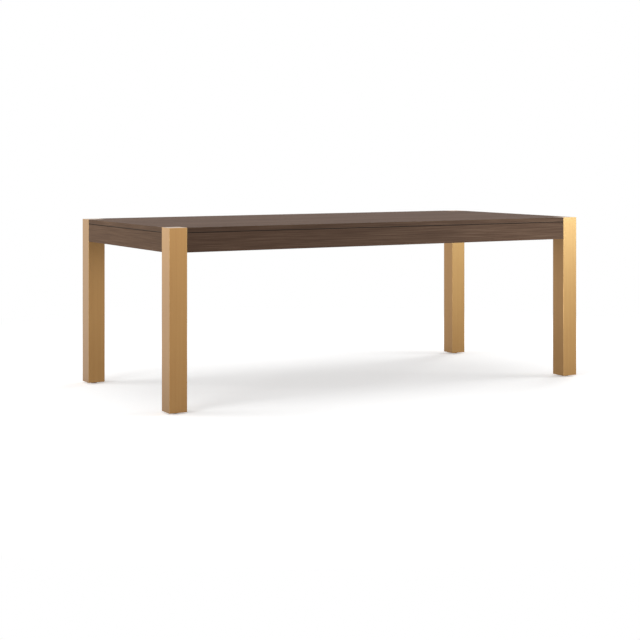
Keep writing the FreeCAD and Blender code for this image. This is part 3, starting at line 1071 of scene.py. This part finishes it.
def hand_over(piece: Piece, finish: Finish, slot: str, body: str, *nodes: str) -> None:
    """Finishes a piece and gives it to the body that carries it.

    Args:
        piece: The finished mesh.
        finish: What covers it.
        slot: The record's material slot; not used.
        body: The CAD body that it rides on.
        *nodes: The CAD nodes that it stands for.
    """
    if isinstance(finish, Walnut | BrushedBrass):
        mark_edges(piece)
    PAINT.coat(piece, finish)
    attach(piece, body)
    if nodes:
        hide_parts(*nodes)
    log.info("made %s: %d faces, on %s", piece.name, len(piece.data.polygons), body)


# ---------------------------------------------------------------- fasteners

@dataclass(frozen=True)
class Seat:
    """Where a fastener stands.

    Attributes:
        outer: The middle of its head's outer end.
        way: The direction from its head to its tip.
        length: Its whole length.
    """

    outer: Vector
    way: Vector
    length: float

    def placement(self) -> Matrix:
        """Puts a fastener made head first along +Z into this seat."""
        return aim(self.outer, self.way)


def loose_shells(node: str) -> list[list[Vector]]:
    """The separate solids of a CAD node, each as its points.

    Args:
        node: The CAD node.

    Returns:
        One list of points for each solid.
    """
    shape = bmesh.new()
    shape.from_mesh(frame["nodes"][node].data)
    bmesh.ops.remove_doubles(shape, verts=shape.verts, dist=TOUCHING)
    waiting = set(shape.verts)
    shells = []
    while waiting:
        reached = [waiting.pop()]
        shell = []
        while reached:
            vertex = reached.pop()
            shell.append(vertex.co.copy())
            for edge in vertex.link_edges:
                other = edge.other_vert(vertex)
                if other in waiting:
                    waiting.remove(other)
                    reached.append(other)
        shells.append(shell)
    shape.free()

    def middle(shell: list[Vector]) -> tuple[float, ...]:
        """The middle of a solid's points."""
        return tuple(round(x, PLACE_DIGITS) for x in sum(shell, Vector()) / len(shell))

    return sorted(shells, key=middle)


def seats_of(node: str) -> list[Seat]:
    """The seats of a CAD node's fasteners: each lies along its longest side, and its wide end is its head.

    Args:
        node: The CAD node.

    Returns:
        One seat for each fastener.
    """
    seats = []
    for shell in loose_shells(node):
        low = Vector(min(p[i] for p in shell) for i in range(3))
        high = Vector(max(p[i] for p in shell) for i in range(3))
        size, middle = high - low, (low + high) / 2
        axis = max(range(3), key=lambda i: size[i])
        way = Vector(1.0 if i == axis else 0.0 for i in range(3))
        reach = size[axis] / 2

        def width(end: float) -> float:
            """How wide the fastener is in its last tenth at one end."""
            near = [p - middle for p in shell if (p - middle)[axis] * end > LAST_TENTH * reach]
            return max((p - way * p[axis]).length for p in near)

        if width(1.0) > width(-1.0):
            way = -way
        seats.append(Seat(middle - way * reach, way, 2 * reach))
    return seats


@dataclass(frozen=True)
class PanScrew:
    """A pan-head wood screw with a cross recess.

    Attributes:
        shank: The shank's diameter.
        head: The head's diameter.
        head_height: The head's height.
        dome: The head's rings, as shares of its radius and its height.
        point: The point's width, as a share of the shank's.
        arm: Half an arm's length and half its width, as shares of the head's diameter.
        recess_depth: The recess's depth, as a share of the head's height.
        recess_taper: The width of its bottom, as a share of its mouth's.
        sides: The number of sides of its rings.
    """

    shank: float
    head: float
    head_height: float
    dome: Outline = ((0.55, 0.0), (0.78, 0.10), (0.93, 0.30), (1.0, 0.60), (1.0, 1.0))
    point: float = 0.15
    arm: Span = (0.27, 0.062)
    recess_depth: float = 0.62
    recess_taper: float = 0.62
    sides: int = 20

    def shape(self, length: float) -> Piece:
        """Models the screw, head first along +Z.

        Args:
            length: Its whole length.

        Returns:
            The screw, with the middle of its head's outer end at the origin.
        """
        rim, tall, radius = self.head / 2, self.head_height, self.shank / 2
        head = [(across * rim, up * tall) for across, up in self.dome]
        shank = [(radius, tall), (radius, length - 2 * radius), (self.point * radius, length)]
        screw = turned("pan_screw", head + shank, self.sides)
        cut(screw, [self.recess_arm(Axis.X), self.recess_arm(Axis.Y)])
        return smoothed(screw, ROUND_BEND)

    def recess_arm(self, axis: Axis) -> Piece:
        """One arm of the cross recess, narrower towards its bottom.

        Args:
            axis: The direction that the arm lies in.

        Returns:
            The cutter.
        """
        reach, half = (share * self.head for share in self.arm)
        deep = self.recess_depth * self.head_height
        size = Vector((reach, half, 0)) if axis is Axis.X else Vector((half, reach, 0))
        arm = block("recess_arm", Vector((0, 0, -deep)) - size, Vector((0, 0, deep)) + size)
        with editing(arm):
            pick_faces(arm, lambda face: face.normal.z > SQUARE_ON)
            taper = (self.recess_taper, self.recess_taper, 1)
            bpy.ops.transform.resize(value=taper, center_override=(0, 0, deep))
        return arm


@dataclass(frozen=True)
class Thread:
    """A right-hand thread about Z.

    Attributes:
        radius: Its outer radius.
        pitch: The rise in one turn.
        deep: The depth of its groove, as a share of the pitch.
        tip: From the middle of the ridge's three-sided section to its tip, as a share of that depth.
        base: The width of the ridge's foot, as a share of the pitch.
        bare: The least part of a turn that is left bare at its end.
    """

    radius: float
    pitch: float
    deep: float = 0.6
    tip: float = 0.73
    base: float = 0.92
    bare: float = 0.5

    @property
    def root(self) -> float:
        """The radius at the bottom of the groove."""
        return self.radius - self.deep * self.pitch

    def wound(self, name: str, low: float, high: float, steps: int) -> Piece:
        """Winds the thread's ridge.

        Args:
            name: The mesh's name.
            low: The level of the ridge's first middle.
            high: The level that its last turn stays under.
            steps: The number of steps in one turn.

        Returns:
            The ridge, a closed mesh that sinks a little into its core.
        """
        tip = self.tip * (self.deep * self.pitch)
        middle = (self.radius - tip, 0, low)
        deselect()
        bpy.ops.mesh.primitive_circle_add(vertices=3, radius=tip, fill_type="NOTHING", location=middle,
                                          rotation=(math.pi / 2, math.pi / 2, 0))
        ridge = settle(name)
        with editing(ridge):
            bpy.ops.mesh.select_all(action="SELECT")
            wide = self.base * self.pitch / (math.sqrt(3) * tip)
            bpy.ops.transform.resize(value=(1, 1, wide), center_override=middle)
        turns = int((high - low) / self.pitch - self.bare)
        apply_modifier(ridge, "SCREW", axis="Z", angle=2 * math.pi, screw_offset=self.pitch, iterations=turns,
                       steps=steps, render_steps=steps, use_merge_vertices=True, merge_threshold=TOUCHING)
        with editing(ridge):
            bpy.ops.mesh.select_all(action="SELECT")
            bpy.ops.mesh.fill_holes(sides=3)
            face_outwards()
        return ridge


@dataclass(frozen=True)
class FlangeBolt:
    """A hex flange bolt, screwed into a weld nut.

    Attributes:
        shank: The thread's diameter.
        flats: The hexagon's width across its flats.
        head_height: The whole head's height, with its flange.
        flange: The flange's diameter.
        flange_height: The flange's height at its rim.
        pitch: The thread's pitch.
        chamfer: The chamfer of the hexagon, which also sinks as far into the flange.
        dish_depth: The depth of the dish in the hexagon's face.
        dish: The radii of the dish's floor, its mouth and the face, as shares of the hexagon's.
        slope: Where the flange's slope starts, as a share of the hexagon's radius, and where it breaks,
            as a share of the flange's own.
        fall: How far the slope has fallen where it breaks, and at the rim.
        sunk: How far the flange reaches into the hexagon, and the thread's core into the flange.
        edge: The broken edge of the flange.
        tip: The tip's chamfer.
    """

    shank: float = 0.008
    flats: float = 0.013
    head_height: float = 0.0053
    flange: float = 0.017
    flange_height: float = 0.0018
    pitch: float = 0.00125
    chamfer: float = 0.0006
    dish_depth: float = 0.0005
    dish: Triple = (0.52, 0.60, 0.90)
    slope: Span = (0.93, 0.90)
    fall: Span = (0.0006, 0.0010)
    sunk: Span = (0.0004, 0.0005)
    edge: float = 0.0002
    tip: float = 0.001

    def shape(self, length: float) -> Piece:
        """Models the bolt, head first along +Z.

        Args:
            length: Its whole length.

        Returns:
            The bolt, with the middle of its head's outer end at the origin.
        """
        corner, rim, tall = self.flats / math.sqrt(3), self.flange / 2, self.head_height
        step = tall - self.flange_height
        floor, mouth, face = (share * corner for share in self.dish)
        hexagon = [(floor, self.dish_depth), (mouth, 0.0), (face, 0.0), (corner, self.chamfer),
                   (corner, step + self.chamfer)]
        flange = [(self.slope[0] * corner, step - self.sunk[0]), (self.slope[1] * rim, step + self.fall[0]),
                  (rim, step + self.fall[1]), (rim, tall - self.edge), (rim - self.edge, tall),
                  (self.shank / 2, tall)]
        thread = Thread(self.shank / 2, self.pitch)
        root = thread.root
        core = [(root, tall - self.sunk[1]), (root, length - self.tip), (root - self.tip, length)]
        parts = [
            turned("bolt_hexagon", hexagon, sides=6),
            turned("bolt_flange", flange, sides=40),
            turned("bolt_core", core, sides=24),
            thread.wound("bolt_thread", tall + self.pitch, length - self.pitch, steps=20),
        ]
        return smoothed(joined("flange_bolt", parts))


BRACKET_SCREW = PanScrew(shank=0.0045, head=0.009, head_height=0.0028)
SMALL_SCREW = PanScrew(shank=0.004, head=0.008, head_height=0.0024)
RAIL_SCREW = PanScrew(shank=0.0045, head=0.009, head_height=0.0030)


def fasten(name: str, node: str, fastener: PanScrew | FlangeBolt) -> None:
    """Models all the fasteners of a CAD node: one of each length, copied to its seats.

    Args:
        name: The new piece's name.
        node: The CAD node.
        fastener: The kind of fastener.
    """
    masters: dict[float, Piece] = {}
    copies = []
    for seat in seats_of(node):
        length = round(seat.length, LENGTH_DIGITS)
        if length not in masters:
            masters[length] = fastener.shape(length)
        copies.append(copied(masters[length], seat.placement()))
    for master in masters.values():
        bpy.data.objects.remove(master)
    hand_over(joined(name, copies), ZINC, "zinc_steel", "table", node)


# ---------------------------------------------------------------- legs and levellers

@dataclass
class AtCorner:
    """A sub-assembly that stands at one corner of the table.

    Attributes:
        corner: The corner.
    """

    corner: Corner

    def here(self, start: str) -> str:
        """This corner's own name, made from a start."""
        return f"{start}_{self.corner.value}"

    def plant(self, piece: Piece, finish: Finish, slot: str, body: str, node: str) -> None:
        """Moves a piece that was turned about the Z axis to its CAD node, and hands it over.

        Args:
            piece: The finished mesh.
            finish: What covers it.
            slot: The record's material slot.
            body: The start of its body's name.
            node: The start of its CAD node's name.
        """
        low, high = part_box(self.here(node))
        middle = (low + high) / 2
        piece.data.transform(Matrix.Translation((middle.x, middle.y, 0)))
        hand_over(piece, finish, slot, self.here(body), self.here(node))


@dataclass
class Leg(AtCorner):
    """A square brass tube with its cap, foot plate and nuts.

    Attributes:
        wall: The tube's wall.
        corner_radius: The radius of its four arrises.
        cap_ease: The rounding of the cap's upper edge.
        weld_line: The width of the joint round the foot plate.
        clearance: The room round a bolt or stud in its hole.
        arris_segments: The flats in each arris.
    """

    wall: float = 0.002
    corner_radius: float = 0.0016
    cap_ease: float = 0.0008
    weld_line: float = 0.0005
    clearance: float = 0.0005
    arris_segments: int = 5

    def build(self) -> None:
        """Makes the leg's own pieces and dresses what is carried over."""
        hand_over(self.tube(), LEG_BRASS, "satin_brass", "table", self.here("leg"))
        hand_over(self.cap(), CAP_BRASS, "satin_brass", "table", self.here("leg_cap"))
        hand_over(self.foot_plate(), CAP_BRASS, "satin_brass", "table", self.here("foot_plate"))
        for nut in ("foot_nut", "leg_nuts"):
            PAINT.coat_node(self.here(nut), ZINC)

    def tube(self) -> Piece:
        """Rounds the arrises of a block, bores it square, and drills its bolt holes.

        Returns:
            The tube.
        """
        low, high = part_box(self.here("leg"))
        tube = block(self.here("leg_tube"), low, high)
        round_over(tube, is_upright, self.corner_radius, self.arris_segments)
        past = Vector((-self.wall, -self.wall, self.wall))
        bore = block("bore", low - past, high + past)
        cut(tube, [bore, *self.bolt_drills()])
        return smoothed(tube)

    def bolt_drills(self) -> list[Piece]:
        """The drills of the bolt holes, through one wall each.

        Returns:
            One cutter for each bolt.
        """
        bolt = FlangeBolt()
        drills = []
        for seat in seats_of(self.here("leg_bolts")):
            start = seat.outer + seat.way * bolt.head_height
            end = seat.outer + seat.way * seat.length
            drills.append(rod("drill", bolt.shank / 2 + self.clearance, start, end, sides=24))
        return drills

    def cap(self) -> Piece:
        """The plate that closes the tube, its upper edge eased.

        Returns:
            The cap.
        """
        low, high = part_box(self.here("leg_cap"))
        cap = block(self.here("leg_top_cap"), low, high)
        round_over(cap, is_upright, self.corner_radius, self.arris_segments)
        round_over(cap, is_level_at(high.z), self.cap_ease)
        return smoothed(cap)

    def foot_plate(self) -> Piece:
        """The plate in the foot, with the line of its weld and the leveller's hole.

        Returns:
            The plate.
        """
        low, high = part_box(self.here("foot_plate"))
        plate = block(self.here("leg_foot_plate"), low, high)
        round_over(plate, is_level_at(low.z), self.weld_line, segments=2)
        middle = (low + high) / 2
        start = Vector((middle.x, middle.y, low.z - self.wall))
        end = Vector((middle.x, middle.y, high.z + self.wall))
        cut(plate, [rod("drill", LevellerStud(self.corner).thread / 2 + self.clearance, start, end)])
        return smoothed(plate)


@dataclass
class LevellerStud(AtCorner):
    """The screw that lifts a leg: thread, hexagon, neck and swivel button.

    Attributes:
        thread: The thread's diameter.
        pitch: The rise in one turn.
        flats: The hexagon's width across its flats.
        hex_height: The hexagon's height.
        hex_face: The hexagon's face, as a share of its width.
        neck: The neck's diameter.
        button: The button's diameter.
        button_height: The button's height.
        edge: The chamfer of its edges.
        thread_start: Where the thread starts above the hexagon, as a share of a turn.
    """

    thread: float = 0.010
    pitch: float = 0.0015
    flats: float = 0.019
    hex_height: float = 0.0025
    hex_face: float = 0.93
    neck: float = 0.009
    button: float = 0.016
    button_height: float = 0.0014
    edge: float = 0.0003
    thread_start: float = 0.4

    def build(self) -> None:
        """Makes the stud in one piece, and hands it over."""
        low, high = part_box(self.here("leveller_stud"))
        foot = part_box(self.here("leg"))[0].z
        thread = Thread(self.thread / 2, self.pitch)
        parts = [
            self.swivel(low.z, foot),
            self.hexagon(foot),
            self.core(thread.root, foot, high.z),
            thread.wound("stud_thread", foot + self.thread_start * self.pitch, high.z - self.edge, steps=28),
        ]
        stud = smoothed(joined(self.here("leveller_screw"), parts))
        self.plant(stud, ZINC, "zinc_steel", "stud", "leveller_stud")

    def swivel(self, low: float, foot: float) -> Piece:
        """The button in the shoe, and the neck above it.

        Args:
            low: The level of the button's underside.
            foot: The level of the leg's foot.

        Returns:
            The button and neck.
        """
        rim, neck, top = self.button / 2, self.neck / 2, low + self.button_height
        outline = [(rim - self.edge, low), (rim, low + self.edge), (rim, top - self.edge),
                   (rim - self.edge, top), (neck, top), (neck, foot - self.edge)]
        return turned("stud_swivel", outline, sides=40)

    def hexagon(self, foot: float) -> Piece:
        """The flange that a wrench turns, its corners chamfered above and below.

        Args:
            foot: The level of the leg's foot, where its upper face is.

        Returns:
            The hexagon.
        """
        corner, low = self.flats / math.sqrt(3), foot - self.hex_height
        face = self.hex_face * corner
        outline = [(face, low), (corner, low + self.edge), (corner, foot - self.edge), (face, foot)]
        return turned("stud_hexagon", outline, sides=6)

    def core(self, root: float, foot: float, top: float) -> Piece:
        """The rod inside the thread, with its pointed end.

        Args:
            root: The rod's radius.
            foot: The level of the leg's foot.
            top: The level of the rod's end.

        Returns:
            The rod.
        """
        outline = [(root, foot - self.edge), (root, top - self.edge), (root - self.edge, top)]
        return turned("stud_core", outline, sides=28)


@dataclass
class LevellerShoe(AtCorner):
    """The moulded shoe that stands on the floor.

    Attributes:
        ease: The rounding of its rim.
        eased: How far the middle of a rounding stands back, as a share of it.
        floor: The thickness under the stud's button.
        lip: The height of the lip over the button.
        mouth: The diameter of the mouth round the stud's neck.
        pocket: The diameter of the pocket round the button.
        ring: The radius of the ring moulded in its top, as a share of the shoe's.
        groove: The width of that ring.
        groove_depth: Its depth, as a share of its width.
    """

    ease: float = 0.0006
    eased: float = 0.3
    floor: float = 0.0009
    lip: float = 0.0008
    mouth: float = 0.0098
    pocket: float = 0.0168
    ring: float = 0.80
    groove: float = 0.0009
    groove_depth: float = 0.4

    def build(self) -> None:
        """Turns the shoe, and hands it over."""
        low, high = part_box(self.here("leveller_shoe"))
        outline = self.outline((high.x - low.x) / 2, high.z)
        shoe = smoothed(turned(self.here("leveller_foot"), outline, sides=64), ROUND_BEND)
        self.plant(shoe, MouldedNylon(), "shoe_plastic", "shoe", "leveller_shoe")

    def outline(self, rim: float, top: float) -> Outline:
        """The shoe's rings, from its underside over its rim and down into its pocket.

        Args:
            rim: The shoe's radius.
            top: The level of its top.

        Returns:
            The (radius, height) of each ring.
        """
        ease, soft, ring = self.ease, self.eased * self.ease, self.ring * rim
        half, quarter, deep = self.groove / 2, self.groove / 4, self.groove_depth * self.groove
        mouth, pocket, lip = self.mouth / 2, self.pocket / 2, top - self.lip
        return [
            (rim - ease, 0.0),
            (rim - soft, soft),
            (rim, ease),
            (rim, top - ease),
            (rim - soft, top - soft),
            (rim - ease, top),
            (ring + half, top),
            (ring + quarter, top - deep),
            (ring - quarter, top - deep),
            (ring - half, top),
            (mouth + soft, top),
            (mouth, top - soft),
            (mouth, lip),
            (pocket, lip),
            (pocket, self.floor),
        ]


# ---------------------------------------------------------------- steel under the top

@dataclass
class CornerJoint(AtCorner):
    """The bracket, bolts and screws that hold a leg and two aprons together.

    Attributes:
        edge: The broken edge of the bracket's plate.
    """

    edge: float = 0.0005

    def build(self) -> None:
        """Makes the bracket and its fasteners."""
        bracket = steel_from_cad(self.here("bent_bracket"), self.here("corner_bracket"), self.edge)
        hand_over(bracket, PowderCoat(), "black_steel", "table", self.here("corner_bracket"))
        fasten(self.here("flange_bolts"), self.here("leg_bolts"), FlangeBolt())
        fasten(self.here("bracket_pan_screws"), self.here("bracket_screws"), BRACKET_SCREW)


@dataclass
class Underframe:
    """The cross rails with their cleats, and the clips that hold the top down.

    Attributes:
        rails: The ends of the rails' names.
        rail_edge: The rails' eased edges.
        steel_edge: The broken edges of cleats and clips.
    """

    rails: tuple[str, ...] = ("left", "middle", "right")
    rail_edge: float = 0.0010
    steel_edge: float = 0.0003

    def build(self) -> None:
        """Makes the rails, the cleats, the clips and all their screws."""
        for name in self.rails:
            rail = steel_from_cad(f"hardwood_rail_{name}", f"cross_rail_{name}", self.rail_edge)
            hand_over(rail, HARDWOOD, "rail_hardwood", "table", f"cross_rail_{name}")
        for name, node in (("angle_cleats", "rail_cleats"), ("angle_clips", "top_clips")):
            steel = steel_from_cad(name, node, self.steel_edge)
            hand_over(steel, ZINC, "zinc_steel", "table", node)
        fasten("cleat_pan_screws", "rail_cleat_screws", SMALL_SCREW)
        fasten("clip_pan_screws", "top_clip_screws", SMALL_SCREW)
        fasten("rail_pan_screws", "rail_top_screws", RAIL_SCREW)


# ---------------------------------------------------------------- aprons and top

@dataclass
class Apron:
    """One side's apron, with the shadow groove under the top.

    Attributes:
        side: The side that it runs along.
        groove_height: The height of the groove.
        groove_depth: The depth of the groove.
        ease: The rounding of its outer edges.
        first_board: The number of the first apron's board.
    """

    side: Side
    groove_height: float = 0.003
    groove_depth: float = 0.006
    ease: float = 0.0008
    first_board: int = 2

    def build(self) -> None:
        """Shapes the board: a block, split along the groove, its back raised to the top."""
        node, outward = f"apron_{self.side.value}", self.side.outward
        low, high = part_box(node)
        face_top = high.z - self.groove_height
        board = block(f"grooved_apron_{self.side.value}", low, Vector((high.x, high.y, face_top)))
        face = self.side.reach(low, high)
        groove = face - self.groove_depth

        def is_behind(face: bmesh.types.BMFace) -> bool:
            """True of the upper face behind the groove."""
            return face.normal.z > SQUARE_ON and face.calc_center_median().dot(outward) < groove

        with editing(board):
            bpy.ops.mesh.select_all(action="SELECT")
            bpy.ops.mesh.bisect(plane_co=outward * groove, plane_no=outward)
            pick_faces(board, is_behind)
            bpy.ops.mesh.extrude_region_move(TRANSFORM_OT_translate={"value": (0, 0, self.groove_height)})
        round_over(board, is_along_face(outward, face), self.ease)
        finish = Walnut(self.side.grain, self.first_board + self.side.number, groove=(face_top, groove))
        hand_over(smoothed(board), finish, "walnut", "table", node)


@dataclass
class Top:
    """The veneered top with its solid lippings.

    Attributes:
        joint: The gap between the wood and each leg.
        ease: The rounding of the veneer's upper edge.
        lipping_ease: The broken edges of the lippings.
        leaf: The width of the veneer's leaves.
        streaks: The veneer's streaks, broader than in solid wood.
        figured: How much the veneer's growth rings show.
        veneer_board: The number of the veneer's board.
        first_board: The number of the first lipping's board.
    """

    joint: float = 0.0005
    ease: float = 0.0005
    lipping_ease: float = 0.0002
    leaf: float = 0.2032
    streaks: Pattern = Pattern(2.2, 120, 4, 0.6)
    figured: float = 0.44
    veneer_board: int = 1
    first_board: int = 6

    def build(self) -> None:
        """Makes the veneer and the lippings, and dresses the core and the backing."""
        leaves = Walnut(Axis.X, self.veneer_board, leaf=self.leaf, streaks=self.streaks,
                        figured=self.figured)
        hand_over(self.veneer(), leaves, "walnut", "table", "top_face_veneer")
        for side in Side:
            self.lipping(side)
        PAINT.coat_node("top_core", Fibreboard())
        PAINT.coat_node("top_backing_veneer", BACKING)

    def veneer(self) -> Piece:
        """The face veneer, notched for the legs, its outer edge rounded over.

        Returns:
            The veneer.
        """
        low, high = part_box("top_face_veneer")
        sheet = block("top_veneer", low, high)
        cut(sheet, [self.notch(corner, low.z, high.z) for corner in Corner])
        round_over(sheet, is_level_at(high.z), self.ease)
        return smoothed(sheet)

    def notch(self, corner: Corner, low: float, high: float) -> Piece:
        """The cutter of a leg's notch, larger than the leg by the joint.

        Args:
            corner: The leg's corner.
            low: The sheet's underside.
            high: The sheet's upper side.

        Returns:
            The cutter.
        """
        leg_low, leg_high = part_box(f"leg_{corner.value}")
        room = Vector((self.joint, self.joint, 0))
        past = 0.001
        return block("notch", Vector((leg_low.x, leg_low.y, low - past)) - room,
                     Vector((leg_high.x, leg_high.y, high + past)) + room)

    def lipping(self, side: Side) -> None:
        """Makes one lipping, its long outer edges just broken.

        Args:
            side: The side that it runs along.
        """
        node = f"top_lipping_{side.value}"
        low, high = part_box(node)
        strip = block(f"edge_lipping_{side.value}", low, high)
        outer_edges = is_along_face(side.outward, side.reach(low, high))
        round_over(strip, outer_edges, self.lipping_ease, segments=2)
        wood = Walnut(side.grain, self.first_board + side.number)
        hand_over(smoothed(strip), wood, "walnut", "table", node)


# ---------------------------------------------------------------- studio

WHITE = (1.0, 1.0, 1.0)
COOL_CLOTH = (0.77, 0.98, 1.0)
WARM_CLOTH = (0.97, 1.0, 0.85)
BLUSH_CLOTH = (1.0, 0.96, 0.94)


class Lights(Enum):
    """What a lamp lights, as the floor's state in the lamp's light linking."""

    ALL = "none"
    TABLE = "EXCLUDE"
    FLOOR = "INCLUDE"


@dataclass(frozen=True)
class Softbox:
    """A square-cornered area lamp.

    Attributes:
        name: The lamp's name.
        place: Where it hangs.
        target: What it is aimed at.
        size: Its width and height.
        radiance: How bright its face is, where 1 is white.
        tint: The colour of its cloth.
        lights: What it lights.
    """

    name: str
    place: Triple
    target: Triple
    size: Span
    radiance: float
    tint: Colour = WHITE
    lights: Lights = Lights.TABLE

    def build(self, floor: Piece) -> None:
        """Hangs the lamp.

        Args:
            floor: The floor, which it lights, leaves out or lights alone.
        """
        light = bpy.data.lights.new(self.name, "AREA")
        light.shape = "RECTANGLE"
        light.size, light.size_y = self.size
        light.energy = self.radiance * math.pi * math.prod(self.size)
        light.color = self.tint
        lamp = bpy.data.objects.new(self.name, light)
        lamp.location = self.place
        lamp.rotation_euler = (Vector(self.target) - Vector(self.place)).to_track_quat("-Z", "Y").to_euler()
        bpy.context.scene.collection.objects.link(lamp)
        if self.lights is not Lights.ALL:
            linked = bpy.data.collections.new(self.name)
            linked.objects.link(floor)
            linked.collection_objects[0].light_linking.link_state = self.lights.value
            lamp.light_linking.receiver_collection = linked
        log.info("hung %s", self.name)


@dataclass(frozen=True)
class Studio:
    """The pale floor, the soft light and the camera.

    Attributes:
        camera_place: Where the camera stands.
        camera_heading: How far it turns right from +Y, in degrees; it looks level.
        lens: Its focal length, in millimetres on a 36 mm frame.
        shift: The lens's shift, in frame widths.
        floor_size: The floor's width.
        floor_tone: The floor's tone under the lamps.
        floor_glow: How much of the floor's white doesn't hang on the lamps.
        metal_glow: The share of that white that metal shows near the table.
        floor_gain: The floor's tone for the eye on top of that, which makes its lit part white.
        shadow_reach: The distances from the middle between which the floor turns plain white.
        world_light: The brightness of the surroundings as light.
        softboxes: The lamps that light the table.
        corner_lamp: The low lamp past the back right corner, one of four that draw the legs' shadow streaks.
    """

    camera_place: Triple = (-3.4735, -6.0232, 1.0662)
    camera_heading: float = 30.046
    lens: float = 81.95
    shift: Span = (-0.0230, -0.2569)
    floor_size: float = 40.0
    floor_tone: float = 0.6
    floor_glow: float = 0.325
    metal_glow: float = 0.15
    floor_gain: float = 0.985
    shadow_reach: Span = (1.8, 3.2)
    world_light: float = 0.40
    softboxes: tuple[Softbox, ...] = (
        Softbox("overhead_softbox", (0.0, 0.0, 4.0), (0.0, 0.0, 0.0), (5.0, 2.6), 0.9, lights=Lights.ALL),
        Softbox("right_softbox", (2.0, -1.9, 1.2), (1.0, -0.5, 0.6), (0.8, 0.9), 5.1, COOL_CLOTH),
        Softbox("low_right_softbox", (2.7, -3.0, 0.9), (1.0, -0.5, 0.5), (1.2, 1.2), 3.7, COOL_CLOTH),
        Softbox("front_softbox", (1.0, -4.2, 1.6), (0.0, -0.5, 0.5), (2.4, 1.6), 1.5),
        Softbox("near_softbox", (0.8, -1.2, 0.3), (1.0, -0.5, 0.75), (0.4, 0.25), 6.5, BLUSH_CLOTH),
        Softbox("left_softbox", (-3.6, 1.6, 1.6), (-1.0, 0.0, 0.6), (1.8, 2.2), 5.3, WARM_CLOTH),
    )
    corner_lamp: Softbox = Softbox(
        "floor_softbox", (5.32, 2.48, 1.25), (0.0, 0.0, 0.0), (2.4, 0.6), 26.8, lights=Lights.FLOOR)

    def build(self) -> None:
        """Sets the stage round the object."""
        bpy.context.scene.view_settings.view_transform = "Standard"
        floor = self.lay_floor()
        self.light_world()
        for softbox in (*self.softboxes, *self.corner_lamps()):
            softbox.build(floor)
        self.stand_camera()

    def corner_lamps(self) -> list[Softbox]:
        """The corner lamp, set up past each of the table's four corners.

        Returns:
            The lamps.
        """
        x, y, z = self.corner_lamp.place
        lamps = []
        for number, (right, back) in enumerate(itertools.product((-1, 1), repeat=2)):
            name = f"{self.corner_lamp.name}_{number}"
            lamps.append(replace(self.corner_lamp, name=name, place=(right * x, back * y, z)))
        return lamps

    def stand_camera(self) -> None:
        """Stands the camera level, with its lens shifted to frame the table."""
        camera = bpy.data.objects.new("camera", bpy.data.cameras.new("camera"))
        camera.location = self.camera_place
        camera.rotation_euler = (math.pi / 2, 0, -math.radians(self.camera_heading))
        camera.data.lens = self.lens
        camera.data.shift_x, camera.data.shift_y = self.shift
        bpy.context.scene.collection.objects.link(camera)
        bpy.context.scene.camera = camera

    def lay_floor(self) -> Piece:
        """Lays the floor.

        Returns:
            The floor.
        """
        deselect()
        bpy.ops.mesh.primitive_plane_add(size=self.floor_size)
        floor = settle("floor")
        floor.data.materials.append(self.floor_material())
        return floor

    def floor_material(self) -> bpy.types.Material:
        """A plain floor that keeps the table's shadow, is white round it, and is clear from below.

        Returns:
            The material.
        """
        material = bpy.data.materials.new("floor")
        material.use_nodes = True
        material.cycles.emission_sampling = "NONE"
        graph = Graph(material.node_tree)
        lit, shown = (graph.node("BsdfDiffuse", {"Color": (tone, tone, tone, 1)}).outputs["BSDF"]
                      for tone in (self.floor_tone, self.floor_gain))
        camera = graph.node("LightPath", {}).outputs["Is Camera Ray"]
        strength = graph.sum("MULTIPLY", graph.scaled(camera, 0, 1, self.metal_glow, 1), self.floor_glow)
        glow, white = (graph.node("Emission", {"Strength": level}).outputs["Emission"]
                       for level in (strength, 1.0))
        near = graph.node("AddShader", {0: shown, 1: glow}).outputs["Shader"]
        distance = graph.node("VectorMath", {0: graph.place()}, operation="LENGTH").outputs["Value"]
        above = graph.either(graph.scaled(distance, *self.shadow_reach), near, white)
        clear = graph.node("BsdfTransparent", {}).outputs["BSDF"]
        seen = graph.either(graph.node("NewGeometry", {}).outputs["Backfacing"], above, clear)
        graph.node("OutputMaterial", {"Surface": graph.either(graph.eye(), lit, seen)})
        return material

    def light_world(self) -> None:
        """Surrounds the object with white: plain light for it, pure white for the eye and the metal."""
        world = bpy.data.worlds.new("studio")
        bpy.context.scene.world = world
        world.use_nodes = True
        graph = Graph(world.node_tree)
        strength = graph.scaled(graph.eye(), 0, 1, self.world_light, 1)
        background = graph.node("Background", {"Color": (*WHITE, 1), "Strength": strength})
        graph.node("OutputWorld", {"Surface": background.outputs["Background"]})


# ---------------------------------------------------------------- the whole table

@dataclass
class DiningTable:
    """The table: its top, aprons, legs, levellers and steelwork.

    Attributes:
        top: The top.
        underframe: The rails and clips.
    """

    top: Top = field(default_factory=Top)
    underframe: Underframe = field(default_factory=Underframe)

    def build(self) -> None:
        """Builds every sub-assembly in order."""
        self.top.build()
        for side in Side:
            Apron(side).build()
        for corner in Corner:
            for assembly in (Leg, LevellerStud, LevellerShoe, CornerJoint):
                assembly(corner).build()
        self.underframe.build()


def main() -> None:
    """Builds the table and its studio."""
    logging.basicConfig(level=logging.INFO, format="%(message)s")
    DiningTable().build()
    Studio().build()


if __name__ == "__main__":
    main()
